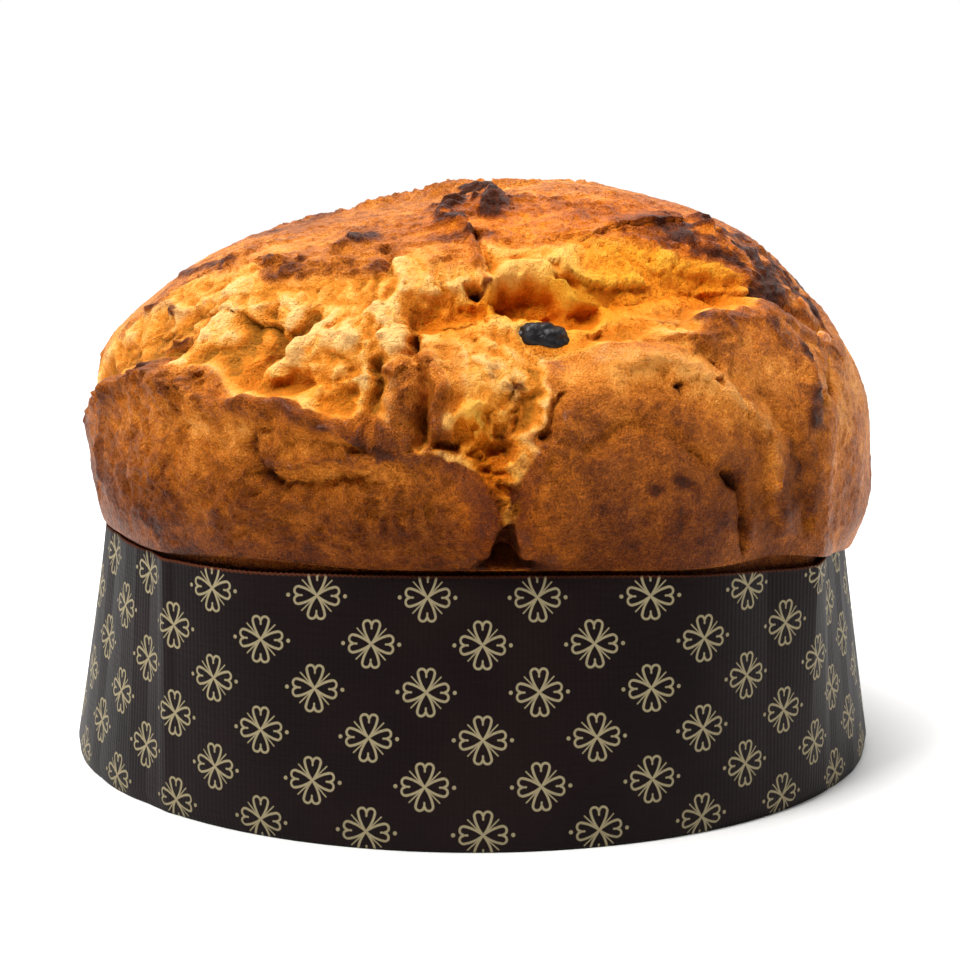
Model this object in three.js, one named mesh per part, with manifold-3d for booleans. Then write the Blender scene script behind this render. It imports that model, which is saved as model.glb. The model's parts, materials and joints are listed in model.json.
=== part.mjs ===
// A low panettone of about one kilogram, baked in its paper case.
//
// The case is a ring of fluted paper round a paper disc. The loaf fills it, rolls out over
// its rim and rises to a crown of four crust flaps, which a cross cut has torn apart. A
// raisin and two slivers of candied peel show in the crown.
//
// Millimetres, +Z up, origin at the middle of the case's foot, the camera side towards -Y.
// An azimuth of 0 degrees faces -Y and 90 degrees faces +X.
import * as THREE from "three";
import Module from "manifold-3d";
import { mergeVertices } from "three/addons/utils/BufferGeometryUtils.js";

// Driving dimensions
const FOOT_RADIUS = 105;
const CASE_HEIGHT = 61.8;
const PAPER = 1;
const FIT_GAP = 0.3;
const RIM_HALF_SIDE = 95.3;
const RIM_SQUARENESS = 2.6;
const CROWN_CENTRE_Z = 80;
const CROWN_RISE = 66;
const CROWN_RADIUS = 100.5;
const LIP_HEIGHT = 63;
const OVERHANG = 1.5;
const TEAR_DEPTH = 4.5;
const RAISIN_SIZE = [13.5, 8.5, 8];
const SLIVER_SIZE = [9, 3.2, 2.6];

// How finely the surfaces are divided: the torn front has finer columns than the back
const FRONT_COLUMNS = 80;
const BACK_COLUMNS = 48;
const CROWN_ROWS = 37;

const RAD = Math.PI / 180;

const smoothstep = (low, high, x) => {
  const t = Math.min(1, Math.max(0, (x - low) / (high - low)));
  return t * t * (3 - 2 * t);
};

// The signed turn from azimuth b to azimuth a, in degrees from -180 to 180.
const turn = (a, b) => ((((a - b + 180) % 360) + 360) % 360) - 180;

// 1 at an azimuth, falling off round it.
const swell = (azimuth, at, width) => Math.exp(-((turn(azimuth, at) / width) ** 2));

// A sharp fold: 1 on its line, falling off straight to both sides.
const fold = (azimuth, at, width) => Math.max(0, 1 - Math.abs(turn(azimuth, at)) / width);

const polar = (azimuth, radius, z) =>
  new THREE.Vector3(radius * Math.sin(azimuth * RAD), -radius * Math.cos(azimuth * RAD), z);

// Paper case

// The foot stays round, because the base disc holds it.
const footRadius = (azimuth) => FOOT_RADIUS + 1.5 * swell(azimuth, -90, 40);

// The loaf has pulled the rim in to a rounded square with a sharp fold at each corner.
const CORNER_FOLDS = [
  { azimuth: -43, stand: 1 },
  { azimuth: 50, stand: 3.4 },
  { azimuth: 133, stand: 2.4 },
  { azimuth: -138, stand: 2.2 },
];
const CORNER_FOLD_WIDTH = 9;
const RIM_DENTS = [
  { azimuth: -31, width: 9, depth: -2.8 },
  { azimuth: 29, width: 10, depth: -3.5 },
  { azimuth: -58, width: 9, depth: 1.6 },
  { azimuth: 64, width: 8, depth: 1.8 },
  { azimuth: -100, width: 12, depth: 0.8 },
  { azimuth: 112, width: 10, depth: 1 },
  { azimuth: 170, width: 14, depth: 1.2 },
];

function rimRadius(azimuth) {
  const side = Math.abs(Math.sin(azimuth * RAD)) ** RIM_SQUARENESS;
  const front = Math.abs(Math.cos(azimuth * RAD)) ** RIM_SQUARENESS;
  let radius = RIM_HALF_SIDE / (side + front) ** (1 / RIM_SQUARENESS);
  for (const { azimuth: at, stand } of CORNER_FOLDS)
    radius += stand * fold(azimuth, at, CORNER_FOLD_WIDTH);
  for (const { azimuth: at, width, depth } of RIM_DENTS)
    radius -= depth * swell(azimuth, at, width);
  return radius;
}

// The rim sinks a little at the right front fold.
const RIM_SAG = { azimuth: 50, width: 16, drop: 3 };
const rimHeight = (azimuth) =>
  CASE_HEIGHT - RIM_SAG.drop * swell(azimuth, RIM_SAG.azimuth, RIM_SAG.width);

// The outside of the paper: straight from foot to rim, and turned in a little at the foot.
const FOOT_TURN = 3;
function wallRadius(azimuth, z) {
  const share = z / CASE_HEIGHT;
  const turnedIn = 0.8 * (1 - smoothstep(0, FOOT_TURN, z));
  return footRadius(azimuth) * (1 - share) + rimRadius(azimuth) * share - turnedIn;
}

const wallInside = (azimuth, z) => wallRadius(azimuth, z) - PAPER;
const bodyRadius = (azimuth, z) => wallInside(azimuth, z) - FIT_GAP;

// Crown

// The widest radius of the crown: each flap bulges over a corner of the case.
const FLAP_BULGES = [
  { azimuth: -42, width: 24, stand: 4.5 },
  { azimuth: 42, width: 26, stand: 5 },
  { azimuth: 136, width: 28, stand: 4 },
  { azimuth: -134, width: 28, stand: 4 },
  { azimuth: 90, width: 35, stand: 2 },
  { azimuth: -90, width: 35, stand: -0.8 },
];
function widestRadius(azimuth) {
  let radius = CROWN_RADIUS;
  for (const { azimuth: at, width, stand } of FLAP_BULGES)
    radius += stand * swell(azimuth, at, width);
  return Math.max(radius, lipRadius(azimuth) + OVERHANG);
}

// The crown is fuller on its right shoulder than on its left.
const fullness = (azimuth) => 2.17 + 0.03 * Math.sin(azimuth * RAD);

// The crown's lowest edge: just over the rim in front, and hanging outside it at the sides.
const LIP_SAGS = [
  { azimuth: 85, width: 32, drop: 9.5 },
  { azimuth: -30, width: 10, drop: -2 },
  { azimuth: 42, width: 8, drop: -1.5 },
  { azimuth: 150, width: 24, drop: 4 },
  { azimuth: -145, width: 28, drop: 3 },
];
function lipHeight(azimuth) {
  let z = LIP_HEIGHT;
  for (const { azimuth: at, width, drop } of LIP_SAGS) z -= drop * swell(azimuth, at, width);
  return z;
}
const lipRadius = (azimuth) => wallRadius(azimuth, lipHeight(azimuth)) + FIT_GAP + 0.5;
const lipLatitude = (azimuth) =>
  Math.atan2(lipHeight(azimuth) - CROWN_CENTRE_Z, lipRadius(azimuth)) / RAD;

// The underside bulges straight down from the widest line and rounds in to the lip.
const UNDERSIDE_FULLNESS = 2.2;
const UNDERSIDE_ROUNDING = 0.6;
function undersideRadius(azimuth, drop) {
  const share = Math.min(1, drop / (CROWN_CENTRE_Z - lipHeight(azimuth)));
  const bulge = (1 - share ** UNDERSIDE_FULLNESS) ** UNDERSIDE_ROUNDING;
  return lipRadius(azimuth) + (widestRadius(azimuth) - lipRadius(azimuth)) * bulge;
}

// The distance from the crown's centre to its plain dome, before any tear or fold. Below
// the widest line it is halved in on, until the point lies on the underside.
const HALVINGS = 24;
function domeDistance(azimuth, latitude) {
  const across = Math.cos(latitude * RAD);
  const along = Math.abs(Math.sin(latitude * RAD));
  if (latitude >= 0) {
    const n = fullness(azimuth);
    return ((across / widestRadius(azimuth)) ** n + (along / CROWN_RISE) ** n) ** (-1 / n);
  }
  let [near, far] = [0, 1.3 * widestRadius(azimuth)];
  for (let i = 0; i < HALVINGS; i++) {
    const middle = (near + far) / 2;
    if (middle * across < undersideRadius(azimuth, middle * along)) near = middle;
    else far = middle;
  }
  return near;
}

const CENTRE = new THREE.Vector3(0, 0, CROWN_CENTRE_Z);
const heading = (azimuth, latitude) =>
  polar(azimuth, Math.cos(latitude * RAD), Math.sin(latitude * RAD));
const onDome = (azimuth, latitude) =>
  heading(azimuth, latitude).multiplyScalar(domeDistance(azimuth, latitude)).add(CENTRE);

// The tears of the cross cut, as [azimuth, latitude, half width] along each.
const TEARS = [
  {
    name: "left arm",
    path: [
      [-88, 2, 3],
      [-70, 14, 8],
      [-50, 23, 15],
      [-25, 22, 18],
      [-6, 25, 13],
    ],
  },
  {
    name: "right arm",
    path: [
      [-6, 25, 13],
      [12, 26, 13],
      [30, 29, 15],
      [42, 29, 10],
      [58, 23, 3],
      [66, 18, 2.5],
      [58, 9, 2.5],
      [50, -4, 2],
    ],
  },
  {
    name: "front arm",
    path: [
      [2, 25, 13],
      [2, 12, 15],
      [3, 3, 9],
      [4, -6, 4],
      [4, -12, 3],
    ],
  },
  {
    name: "back arm",
    path: [
      [-176, 66, 3],
      [178, 50, 9],
      [172, 30, 10],
      [176, 10, 5],
      [178, -8, 3],
    ],
  },
  {
    name: "right side split",
    path: [
      [70, 18, 3],
      [92, 26, 6],
      [108, 30, 5],
    ],
  },
];

// Deep narrow clefts and soft folds, as [azimuth, latitude] along each.
const CLEFTS = [
  {
    name: "top cleft",
    width: 4.5,
    depth: 3,
    path: [
      [2, 34],
      [-4, 48],
      [-14, 58],
    ],
  },
  {
    name: "main cleft",
    width: 4.4,
    depth: 8,
    path: [
      [-9, 22],
      [-8, 14],
      [-7, 8],
    ],
  },
  {
    name: "right flap's edge",
    width: 4,
    depth: 4.5,
    path: [
      [16, 19],
      [11, 13],
      [8, 8],
    ],
  },
  {
    name: "between the front flaps",
    width: 5,
    depth: 7,
    path: [
      [4, -2],
      [4, -7],
      [3, -13],
    ],
  },
  {
    name: "crumb crevice",
    width: 4,
    depth: 4,
    path: [
      [-33, 24],
      [-32, 17],
    ],
  },
  {
    name: "crumb fold",
    width: 4,
    depth: 4,
    path: [
      [-16, 15],
      [-15, 10],
    ],
  },
  {
    name: "right crease",
    width: 4,
    depth: 3.5,
    path: [
      [31, 2],
      [35, -4],
      [37, -12],
    ],
  },
  {
    name: "left side seam",
    width: 5,
    depth: 3,
    path: [
      [-60, 14],
      [-70, 4],
      [-74, -6],
    ],
  },
];

// Lumps that stand out (+) and hollows that go in (-), in millimetres on the surface.
const MOUNDS = [
  { name: "left front flap", azimuth: -36, latitude: 2, across: 34, along: 14, stand: 1.6 },
  { name: "right front flap", azimuth: 24, latitude: 2, across: 24, along: 22, stand: 2.4 },
  { name: "left flap's lip", azimuth: -34, latitude: 11, across: 34, along: 4.5, stand: 3 },
  { name: "tongue of crust", azimuth: -18, latitude: 7, across: 17, along: 6, stand: 2.4 },
  { name: "middle lump", azimuth: 2, latitude: 15, across: 11, along: 10, stand: 5.5 },
  { name: "crumb lump", azimuth: -38, latitude: 20, across: 9, along: 10, stand: 3.5 },
  { name: "crumb roll", azimuth: -22, latitude: 20, across: 9, along: 10, stand: 4 },
  { name: "left cave", azimuth: -3, latitude: 28, across: 9, along: 5, stand: -8 },
  { name: "middle cave", azimuth: 11, latitude: 28, across: 9, along: 6, stand: -8 },
  { name: "right cave", azimuth: 22, latitude: 24, across: 8, along: 6, stand: -3.5 },
  { name: "burnt crag", azimuth: 4, latitude: 84, across: 7, along: 6, stand: 2.2 },
  { name: "right brow", azimuth: 88, latitude: 68, across: 30, along: 24, stand: 2 },
  { name: "left shoulder", azimuth: -76, latitude: 13, across: 30, along: 13, stand: 1.8 },
  { name: "left fall", azimuth: -78, latitude: 60, across: 46, along: 26, stand: -6 },
  { name: "right fall", azimuth: 84, latitude: 24, across: 40, along: 16, stand: -1.6 },
  { name: "right belly", azimuth: 88, latitude: -7, across: 34, along: 10, stand: 1.6 },
  { name: "back right shoulder", azimuth: 60, latitude: 38, across: 26, along: 18, stand: 1.5 },
  { name: "back left flap", azimuth: -140, latitude: 12, across: 40, along: 24, stand: 1.6 },
  { name: "back right flap", azimuth: 140, latitude: 10, across: 38, along: 24, stand: 1.8 },
];

// A path's corners as points on the dome, each with its half width where it has one.
const traced = (path) =>
  path.map(([azimuth, latitude, half = 0]) => ({ at: onDome(azimuth, latitude), half }));
const TRACED_TEARS = TEARS.map((tear) => traced(tear.path));
const TRACED_CLEFTS = CLEFTS.map((cleft) => ({ ...cleft, line: traced(cleft.path) }));

// How far a point lies from a traced line, less the line's half width there.
function clearance(point, line) {
  let nearest = Infinity;
  const span = new THREE.Vector3();
  const reach = new THREE.Vector3();
  for (let i = 0; i + 1 < line.length; i++) {
    const [a, b] = [line[i], line[i + 1]];
    span.subVectors(b.at, a.at);
    reach.subVectors(point, a.at);
    const share = Math.min(1, Math.max(0, reach.dot(span) / span.lengthSq()));
    const gap = reach.addScaledVector(span, -share).length();
    nearest = Math.min(nearest, gap - (a.half + (b.half - a.half) * share));
  }
  return nearest;
}

// Torn crumb rises in soft billows, about 20 mm from one to the next.
const BILLOW = { height: 1.7, turn: [0.31, 0.27, 0.36] };
function billows(point) {
  const [kx, ky, kz] = BILLOW.turn;
  const sway = 1.3 * Math.sin(kx * 0.6 * point.z + 1.1);
  return BILLOW.height * Math.sin(kx * point.x + sway) * Math.cos(kz * point.z + ky * point.y);
}

// The step from crust to torn crumb: a rolled lip outside the tear and a floor inside it.
function tearRelief(point) {
  const gap = Math.min(...TRACED_TEARS.map((line) => clearance(point, line)));
  const lip = 1.6 * Math.exp(-(((gap - 3.5) / 3.5) ** 2));
  const torn = smoothstep(1.5, -4, gap);
  return lip + torn * (billows(point) - TEAR_DEPTH);
}

function cleftRelief(point) {
  return TRACED_CLEFTS.reduce((sum, cleft) => {
    const gap = clearance(point, cleft.line) / cleft.width;
    return sum - cleft.depth * Math.exp(-(gap ** 2));
  }, 0);
}

function moundRelief(point) {
  return MOUNDS.reduce((sum, mound) => {
    const out = heading(mound.azimuth, mound.latitude);
    const east = new THREE.Vector3(0, 0, 1).cross(out).normalize();
    const north = new THREE.Vector3().crossVectors(out, east);
    const reach = point.clone().sub(onDome(mound.azimuth, mound.latitude));
    const spread =
      (reach.dot(east) / mound.across) ** 2 +
      (reach.dot(north) / mound.along) ** 2 +
      (reach.dot(out) / (mound.across + mound.along)) ** 2;
    return sum + mound.stand * Math.exp(-spread);
  }, 0);
}

// The crown's distance from its centre, relief and all. The relief fades out at the lip.
const LIP_FADE = 9;
function crownDistance(azimuth, latitude) {
  const point = onDome(azimuth, latitude);
  const relief = tearRelief(point) + cleftRelief(point) + moundRelief(point);
  const shown = smoothstep(0, LIP_FADE, latitude - lipLatitude(azimuth));
  return domeDistance(azimuth, latitude) + relief * shown;
}
const onCrown = (azimuth, latitude, sink = 0) =>
  heading(azimuth, latitude)
    .multiplyScalar(crownDistance(azimuth, latitude) - sink)
    .add(CENTRE);

// Meshes

// A closed surface from rings of points, listed from its lower pole or edge to its upper
// one. Rings run round with the azimuth. A pole is one point. Without poles the last ring
// joins the first, as on a tube bent into a ring. Each quad is split from its lower left
// corner, so that twisted faces which lie against each other are split alike.
function fromRings(rings, low = null, high = null) {
  const count = rings[0].length;
  const points = rings.flat();
  const faces = [];
  const corner = (ring, i) => (ring % rings.length) * count + (i % count);
  const lastBand = low ? rings.length - 1 : rings.length;
  for (let ring = 0; ring < lastBand; ring++)
    for (let i = 0; i < count; i++) {
      const [a, b] = [corner(ring, i), corner(ring, i + 1)];
      const [c, d] = [corner(ring + 1, i + 1), corner(ring + 1, i)];
      if (points[a].z <= points[d].z) faces.push(a, b, c, a, c, d);
      else faces.push(a, b, d, b, c, d);
    }
  if (low) {
    points.push(low, high);
    const [bottom, top] = [points.length - 2, points.length - 1];
    for (let i = 0; i < count; i++) {
      faces.push(bottom, corner(0, i + 1), corner(0, i));
      faces.push(top, corner(rings.length - 1, i), corner(rings.length - 1, i + 1));
    }
  }
  const geometry = new THREE.BufferGeometry().setFromPoints(points);
  return geometry.setIndex(faces);
}

const steps = (count) => Array.from({ length: count + 1 }, (_, i) => i / count);
const AZIMUTHS = [
  ...steps(FRONT_COLUMNS).map((share) => -90 + 180 * share),
  ...steps(BACK_COLUMNS).slice(1, -1).map((share) => 90 + 180 * share),
];
const ring = (pointAt) => AZIMUTHS.map(pointAt);

// The paper's ring: up the outside, over the rim and down the inside.
function caseWall() {
  const shares = [0, FOOT_TURN / CASE_HEIGHT, 1];
  const sheet = (radiusAt, share) =>
    ring((azimuth) => {
      const z = share * rimHeight(azimuth);
      return polar(azimuth, radiusAt(azimuth, z), z);
    });
  const outside = shares.map((share) => sheet(wallRadius, share));
  const inside = shares.toReversed().map((share) => sheet(wallInside, share));
  return fromRings([...outside, ...inside]);
}

// The base disc lies inside the foot of the ring.
function caseBase() {
  const rings = [0, PAPER].map((z) =>
    ring((azimuth) => polar(azimuth, wallInside(azimuth, 0) - FIT_GAP, z)),
  );
  return fromRings(rings, new THREE.Vector3(0, 0, 0), new THREE.Vector3(0, 0, PAPER));
}

// The loaf: its body up inside the paper, a slot for the rim, and the crown.
function loafForm() {
  const bottom = PAPER + FIT_GAP;
  const slotTop = (azimuth) => Math.max(lipHeight(azimuth) + 0.2, rimHeight(azimuth) + FIT_GAP);
  const rings = [() => bottom, () => FOOT_TURN, slotTop].map((heightAt) =>
    ring((azimuth) => {
      const z = heightAt(azimuth);
      return polar(azimuth, bodyRadius(azimuth, z), z);
    }),
  );
  rings.push(
    ring((azimuth) => {
      const z = slotTop(azimuth);
      return polar(azimuth, wallRadius(azimuth, z) + FIT_GAP, z);
    }),
  );
  for (const share of steps(CROWN_ROWS).slice(0, -1))
    rings.push(
      ring((azimuth) => {
        const low = lipLatitude(azimuth);
        return onCrown(azimuth, low + (90 - low) * share);
      }),
    );
  return fromRings(rings, new THREE.Vector3(0, 0, bottom), onCrown(0, 90));
}

// A wrinkled berry or a sliver, laid on the crown and sunk part of the way in.
function pebble(size, wrinkle) {
  const form = new THREE.SphereGeometry(0.5, 14, 9);
  const place = form.getAttribute("position");
  for (let i = 0; i < place.count; i++) {
    const [x, y, z] = [place.getX(i), place.getY(i), place.getZ(i)];
    const pinch = 1 + wrinkle * Math.sin(9 * x + 4 * z) * Math.cos(7 * y);
    place.setXYZ(i, x * size[0] * pinch, y * size[1] * pinch, z * size[2] * pinch);
  }
  return form;
}

const wasm = await Module();
wasm.setup();

function solidFrom(geometry) {
  const bare = geometry.clone();
  bare.deleteAttribute("normal");
  bare.deleteAttribute("uv");
  const merged = mergeVertices(bare, 1e-4);
  return new wasm.Manifold(
    new wasm.Mesh({
      numProp: 3,
      vertProperties: merged.getAttribute("position").array,
      triVerts: new Uint32Array(merged.index.array),
    }),
  );
}

function geometryFrom(solid) {
  const { vertProperties, triVerts } = solid.getMesh();
  const geometry = new THREE.BufferGeometry();
  geometry.setAttribute("position", new THREE.Float32BufferAttribute(vertProperties, 3));
  geometry.setIndex(Array.from(triVerts));
  geometry.computeVertexNormals();
  return geometry;
}

// Inclusions: where each lies on the crown, how deep its middle is and which way it points.
const INCLUSIONS = [
  {
    name: "raisin",
    size: RAISIN_SIZE,
    wrinkle: 0.06,
    azimuth: 11.1,
    latitude: 22,
    sink: 0.5,
    roll: -12,
  },
  {
    name: "peel_sliver_upper",
    size: SLIVER_SIZE,
    wrinkle: 0,
    azimuth: 64,
    latitude: 22,
    sink: 0.2,
    roll: -60,
  },
  {
    name: "peel_sliver_lower",
    size: SLIVER_SIZE,
    wrinkle: 0,
    azimuth: 62,
    latitude: 17.5,
    sink: 0.2,
    roll: -8,
  },
];

// The frame of an inclusion: its length runs round the crown, its thickness points out.
function inclusionFrame({ azimuth, latitude, sink, roll }) {
  const out = heading(azimuth, latitude);
  const east = new THREE.Vector3(0, 0, 1).cross(out).normalize();
  const north = new THREE.Vector3().crossVectors(out, east);
  const frame = new THREE.Matrix4().makeBasis(east, north, out);
  frame.multiply(new THREE.Matrix4().makeRotationZ(roll * RAD));
  return frame.setPosition(onCrown(azimuth, latitude, sink));
}

const CRUST = new THREE.MeshStandardMaterial({ color: 0xa9642a, roughness: 0.75 });
const CASE_PAPER = new THREE.MeshStandardMaterial({ color: 0x2c2122, roughness: 0.35 });
const RAISIN_SKIN = new THREE.MeshStandardMaterial({ color: 0x1d1718, roughness: 0.35 });
const CANDIED_PEEL = new THREE.MeshStandardMaterial({ color: 0xc9752c, roughness: 0.4 });

function named(name, geometry, material) {
  const mesh = new THREE.Mesh(geometry, material);
  mesh.name = name;
  return mesh;
}

const panettone = new THREE.Group();
panettone.add(named("case_wall", caseWall(), CASE_PAPER));
panettone.add(named("case_base", caseBase(), CASE_PAPER));

let loaf = solidFrom(loafForm());
for (const inclusion of INCLUSIONS) {
  const frame = inclusionFrame(inclusion);
  const material = inclusion.name === "raisin" ? RAISIN_SKIN : CANDIED_PEEL;
  const mesh = named(inclusion.name, pebble(inclusion.size, inclusion.wrinkle), material);
  mesh.applyMatrix4(frame);
  panettone.add(mesh);
  const socket = inclusion.size.map((side) => side + 2 * FIT_GAP);
  const cutter = pebble(socket, inclusion.wrinkle).applyMatrix4(frame);
  loaf = loaf.subtract(solidFrom(cutter));
}
panettone.add(named("loaf", geometryFrom(loaf), CRUST));

export default panettone;
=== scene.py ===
"""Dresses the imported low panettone: its torn, baked crown, its printed paper case and its fruit.

The loaf's solid gives the main shape. Here the same dome is cut into fine rows and columns,
its tears, flaps, rolls and caves are worked in by strokes, and noise on several scales gives
the crumb and the crust their grain. Lengths are millimetres until a mesh is made. An azimuth
of 0 degrees faces the camera side, -Y, and 90 degrees faces +X. A latitude is the angle above
the crown's centre.
"""

from __future__ import annotations

import json
import logging
import math
from concurrent.futures import ThreadPoolExecutor
from dataclasses import dataclass, field
from enum import Enum
from typing import Any, Callable, Iterable, Sequence

import bpy
import numpy as np
from mathutils import Matrix, Vector

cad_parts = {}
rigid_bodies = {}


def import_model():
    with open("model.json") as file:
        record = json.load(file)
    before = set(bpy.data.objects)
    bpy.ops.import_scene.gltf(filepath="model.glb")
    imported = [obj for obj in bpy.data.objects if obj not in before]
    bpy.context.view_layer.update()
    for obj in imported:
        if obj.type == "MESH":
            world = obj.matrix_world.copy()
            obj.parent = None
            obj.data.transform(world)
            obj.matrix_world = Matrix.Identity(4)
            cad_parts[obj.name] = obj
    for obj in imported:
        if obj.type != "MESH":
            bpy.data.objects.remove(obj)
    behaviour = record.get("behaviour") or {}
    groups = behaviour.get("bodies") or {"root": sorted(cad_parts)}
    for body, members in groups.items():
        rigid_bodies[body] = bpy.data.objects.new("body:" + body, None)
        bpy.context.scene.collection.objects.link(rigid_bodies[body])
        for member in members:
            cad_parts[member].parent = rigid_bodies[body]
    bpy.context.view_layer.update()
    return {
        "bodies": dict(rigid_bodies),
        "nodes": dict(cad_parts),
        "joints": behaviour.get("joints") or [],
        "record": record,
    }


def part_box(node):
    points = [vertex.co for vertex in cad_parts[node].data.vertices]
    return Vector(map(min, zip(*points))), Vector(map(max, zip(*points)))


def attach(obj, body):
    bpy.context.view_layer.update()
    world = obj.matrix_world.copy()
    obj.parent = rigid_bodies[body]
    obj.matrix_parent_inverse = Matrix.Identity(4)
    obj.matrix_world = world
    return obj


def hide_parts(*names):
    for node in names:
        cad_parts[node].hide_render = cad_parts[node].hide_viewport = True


LOG = logging.getLogger("panettone")
MM = 0.001

TINY = 1e-6
LEAST_SLOPE = 1e-3

Array = np.ndarray
Place = tuple[float, float]


def turn(azimuth: Any, at: float) -> Any:
    """Returns the turn from one azimuth to another, from -180 to 180 degrees."""
    return (azimuth - at + 180) % 360 - 180


def swell(azimuth: Any, at: float, width: float) -> Any:
    """Returns 1 at an azimuth, falling off softly round it."""
    return np.exp(-((turn(azimuth, at) / width) ** 2))


def fold(azimuth: Any, at: float, width: float) -> Any:
    """Returns 1 at an azimuth, falling off straight to both sides, as a crease does."""
    return np.maximum(0, 1 - np.abs(turn(azimuth, at)) / width)


def smoothstep(low: float, high: float, value: Any) -> Any:
    """Returns 0 at low and 1 at high, with a soft start and end."""
    share = np.clip((value - low) / (high - low), 0, 1)
    return share * share * (3 - 2 * share)


def heading(azimuth: Any, latitude: Any) -> Array:
    """Returns the unit vectors that point to places on the crown."""
    az, lat = np.radians(azimuth), np.radians(latitude)
    level = np.cos(lat)
    return np.stack([level * np.sin(az), -level * np.cos(az), np.sin(lat) + 0 * az], axis=-1)


def eastward(azimuth: Any) -> Array:
    """Returns the level unit vectors that point round the crown, to growing azimuths."""
    az = np.radians(azimuth)
    return np.stack([np.cos(az), np.sin(az), 0 * az], axis=-1)


def ring(azimuth: Array, radius: Array, z: Array) -> Array:
    """Returns the points of a ring round the upright axis, one a row."""
    az = np.radians(azimuth)
    return np.column_stack([radius * np.sin(az), -radius * np.cos(az), z])


def display(red: int, green: int, blue: int) -> tuple[float, float, float, float]:
    """Turns a colour as a screen shows it, 0 to 255, into linear light.

    Args:
        red: The red part.
        green: The green part.
        blue: The blue part.

    Returns:
        The linear red, green and blue, and an alpha of 1.
    """
    parts = [c / 255 for c in (red, green, blue)]
    linear = [c / 12.92 if c <= 0.04045 else ((c + 0.055) / 1.055) ** 2.4 for c in parts]
    return (*linear, 1.0)


def in_chunks(work: Callable[[Array], Array], points: Array, chunks: int = 16) -> Array:
    """Returns the joined results of work on slices of points, which run side by side."""
    parts = np.array_split(points, chunks)
    with ThreadPoolExecutor(4) as pool:
        return np.concatenate(list(pool.map(work, parts)))


@dataclass(frozen=True)
class Edge:
    """A soft step, from 0 at its low value to 1 at its high one. Low may be the larger."""

    low: float
    high: float

    def at(self, value: Any, spread: Any = 0) -> Any:
        """Returns how far a value is up the step, which may be spread at both its ends."""
        return smoothstep(self.low + spread, self.high - spread, value)


@dataclass(frozen=True)
class Layer:
    """One scale of noise.

    Attributes:
        cell: The width of its lumps or fibres, in millimetres.
        strength: How much it adds or moves at most.
        shift: A number that gives it noise of its own.
        count: How many finer layers it is made of.
        reach: Half the length of its fibres, if it has any.
    """

    cell: float
    strength: float
    shift: float
    count: int = 1
    reach: float = 0


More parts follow.
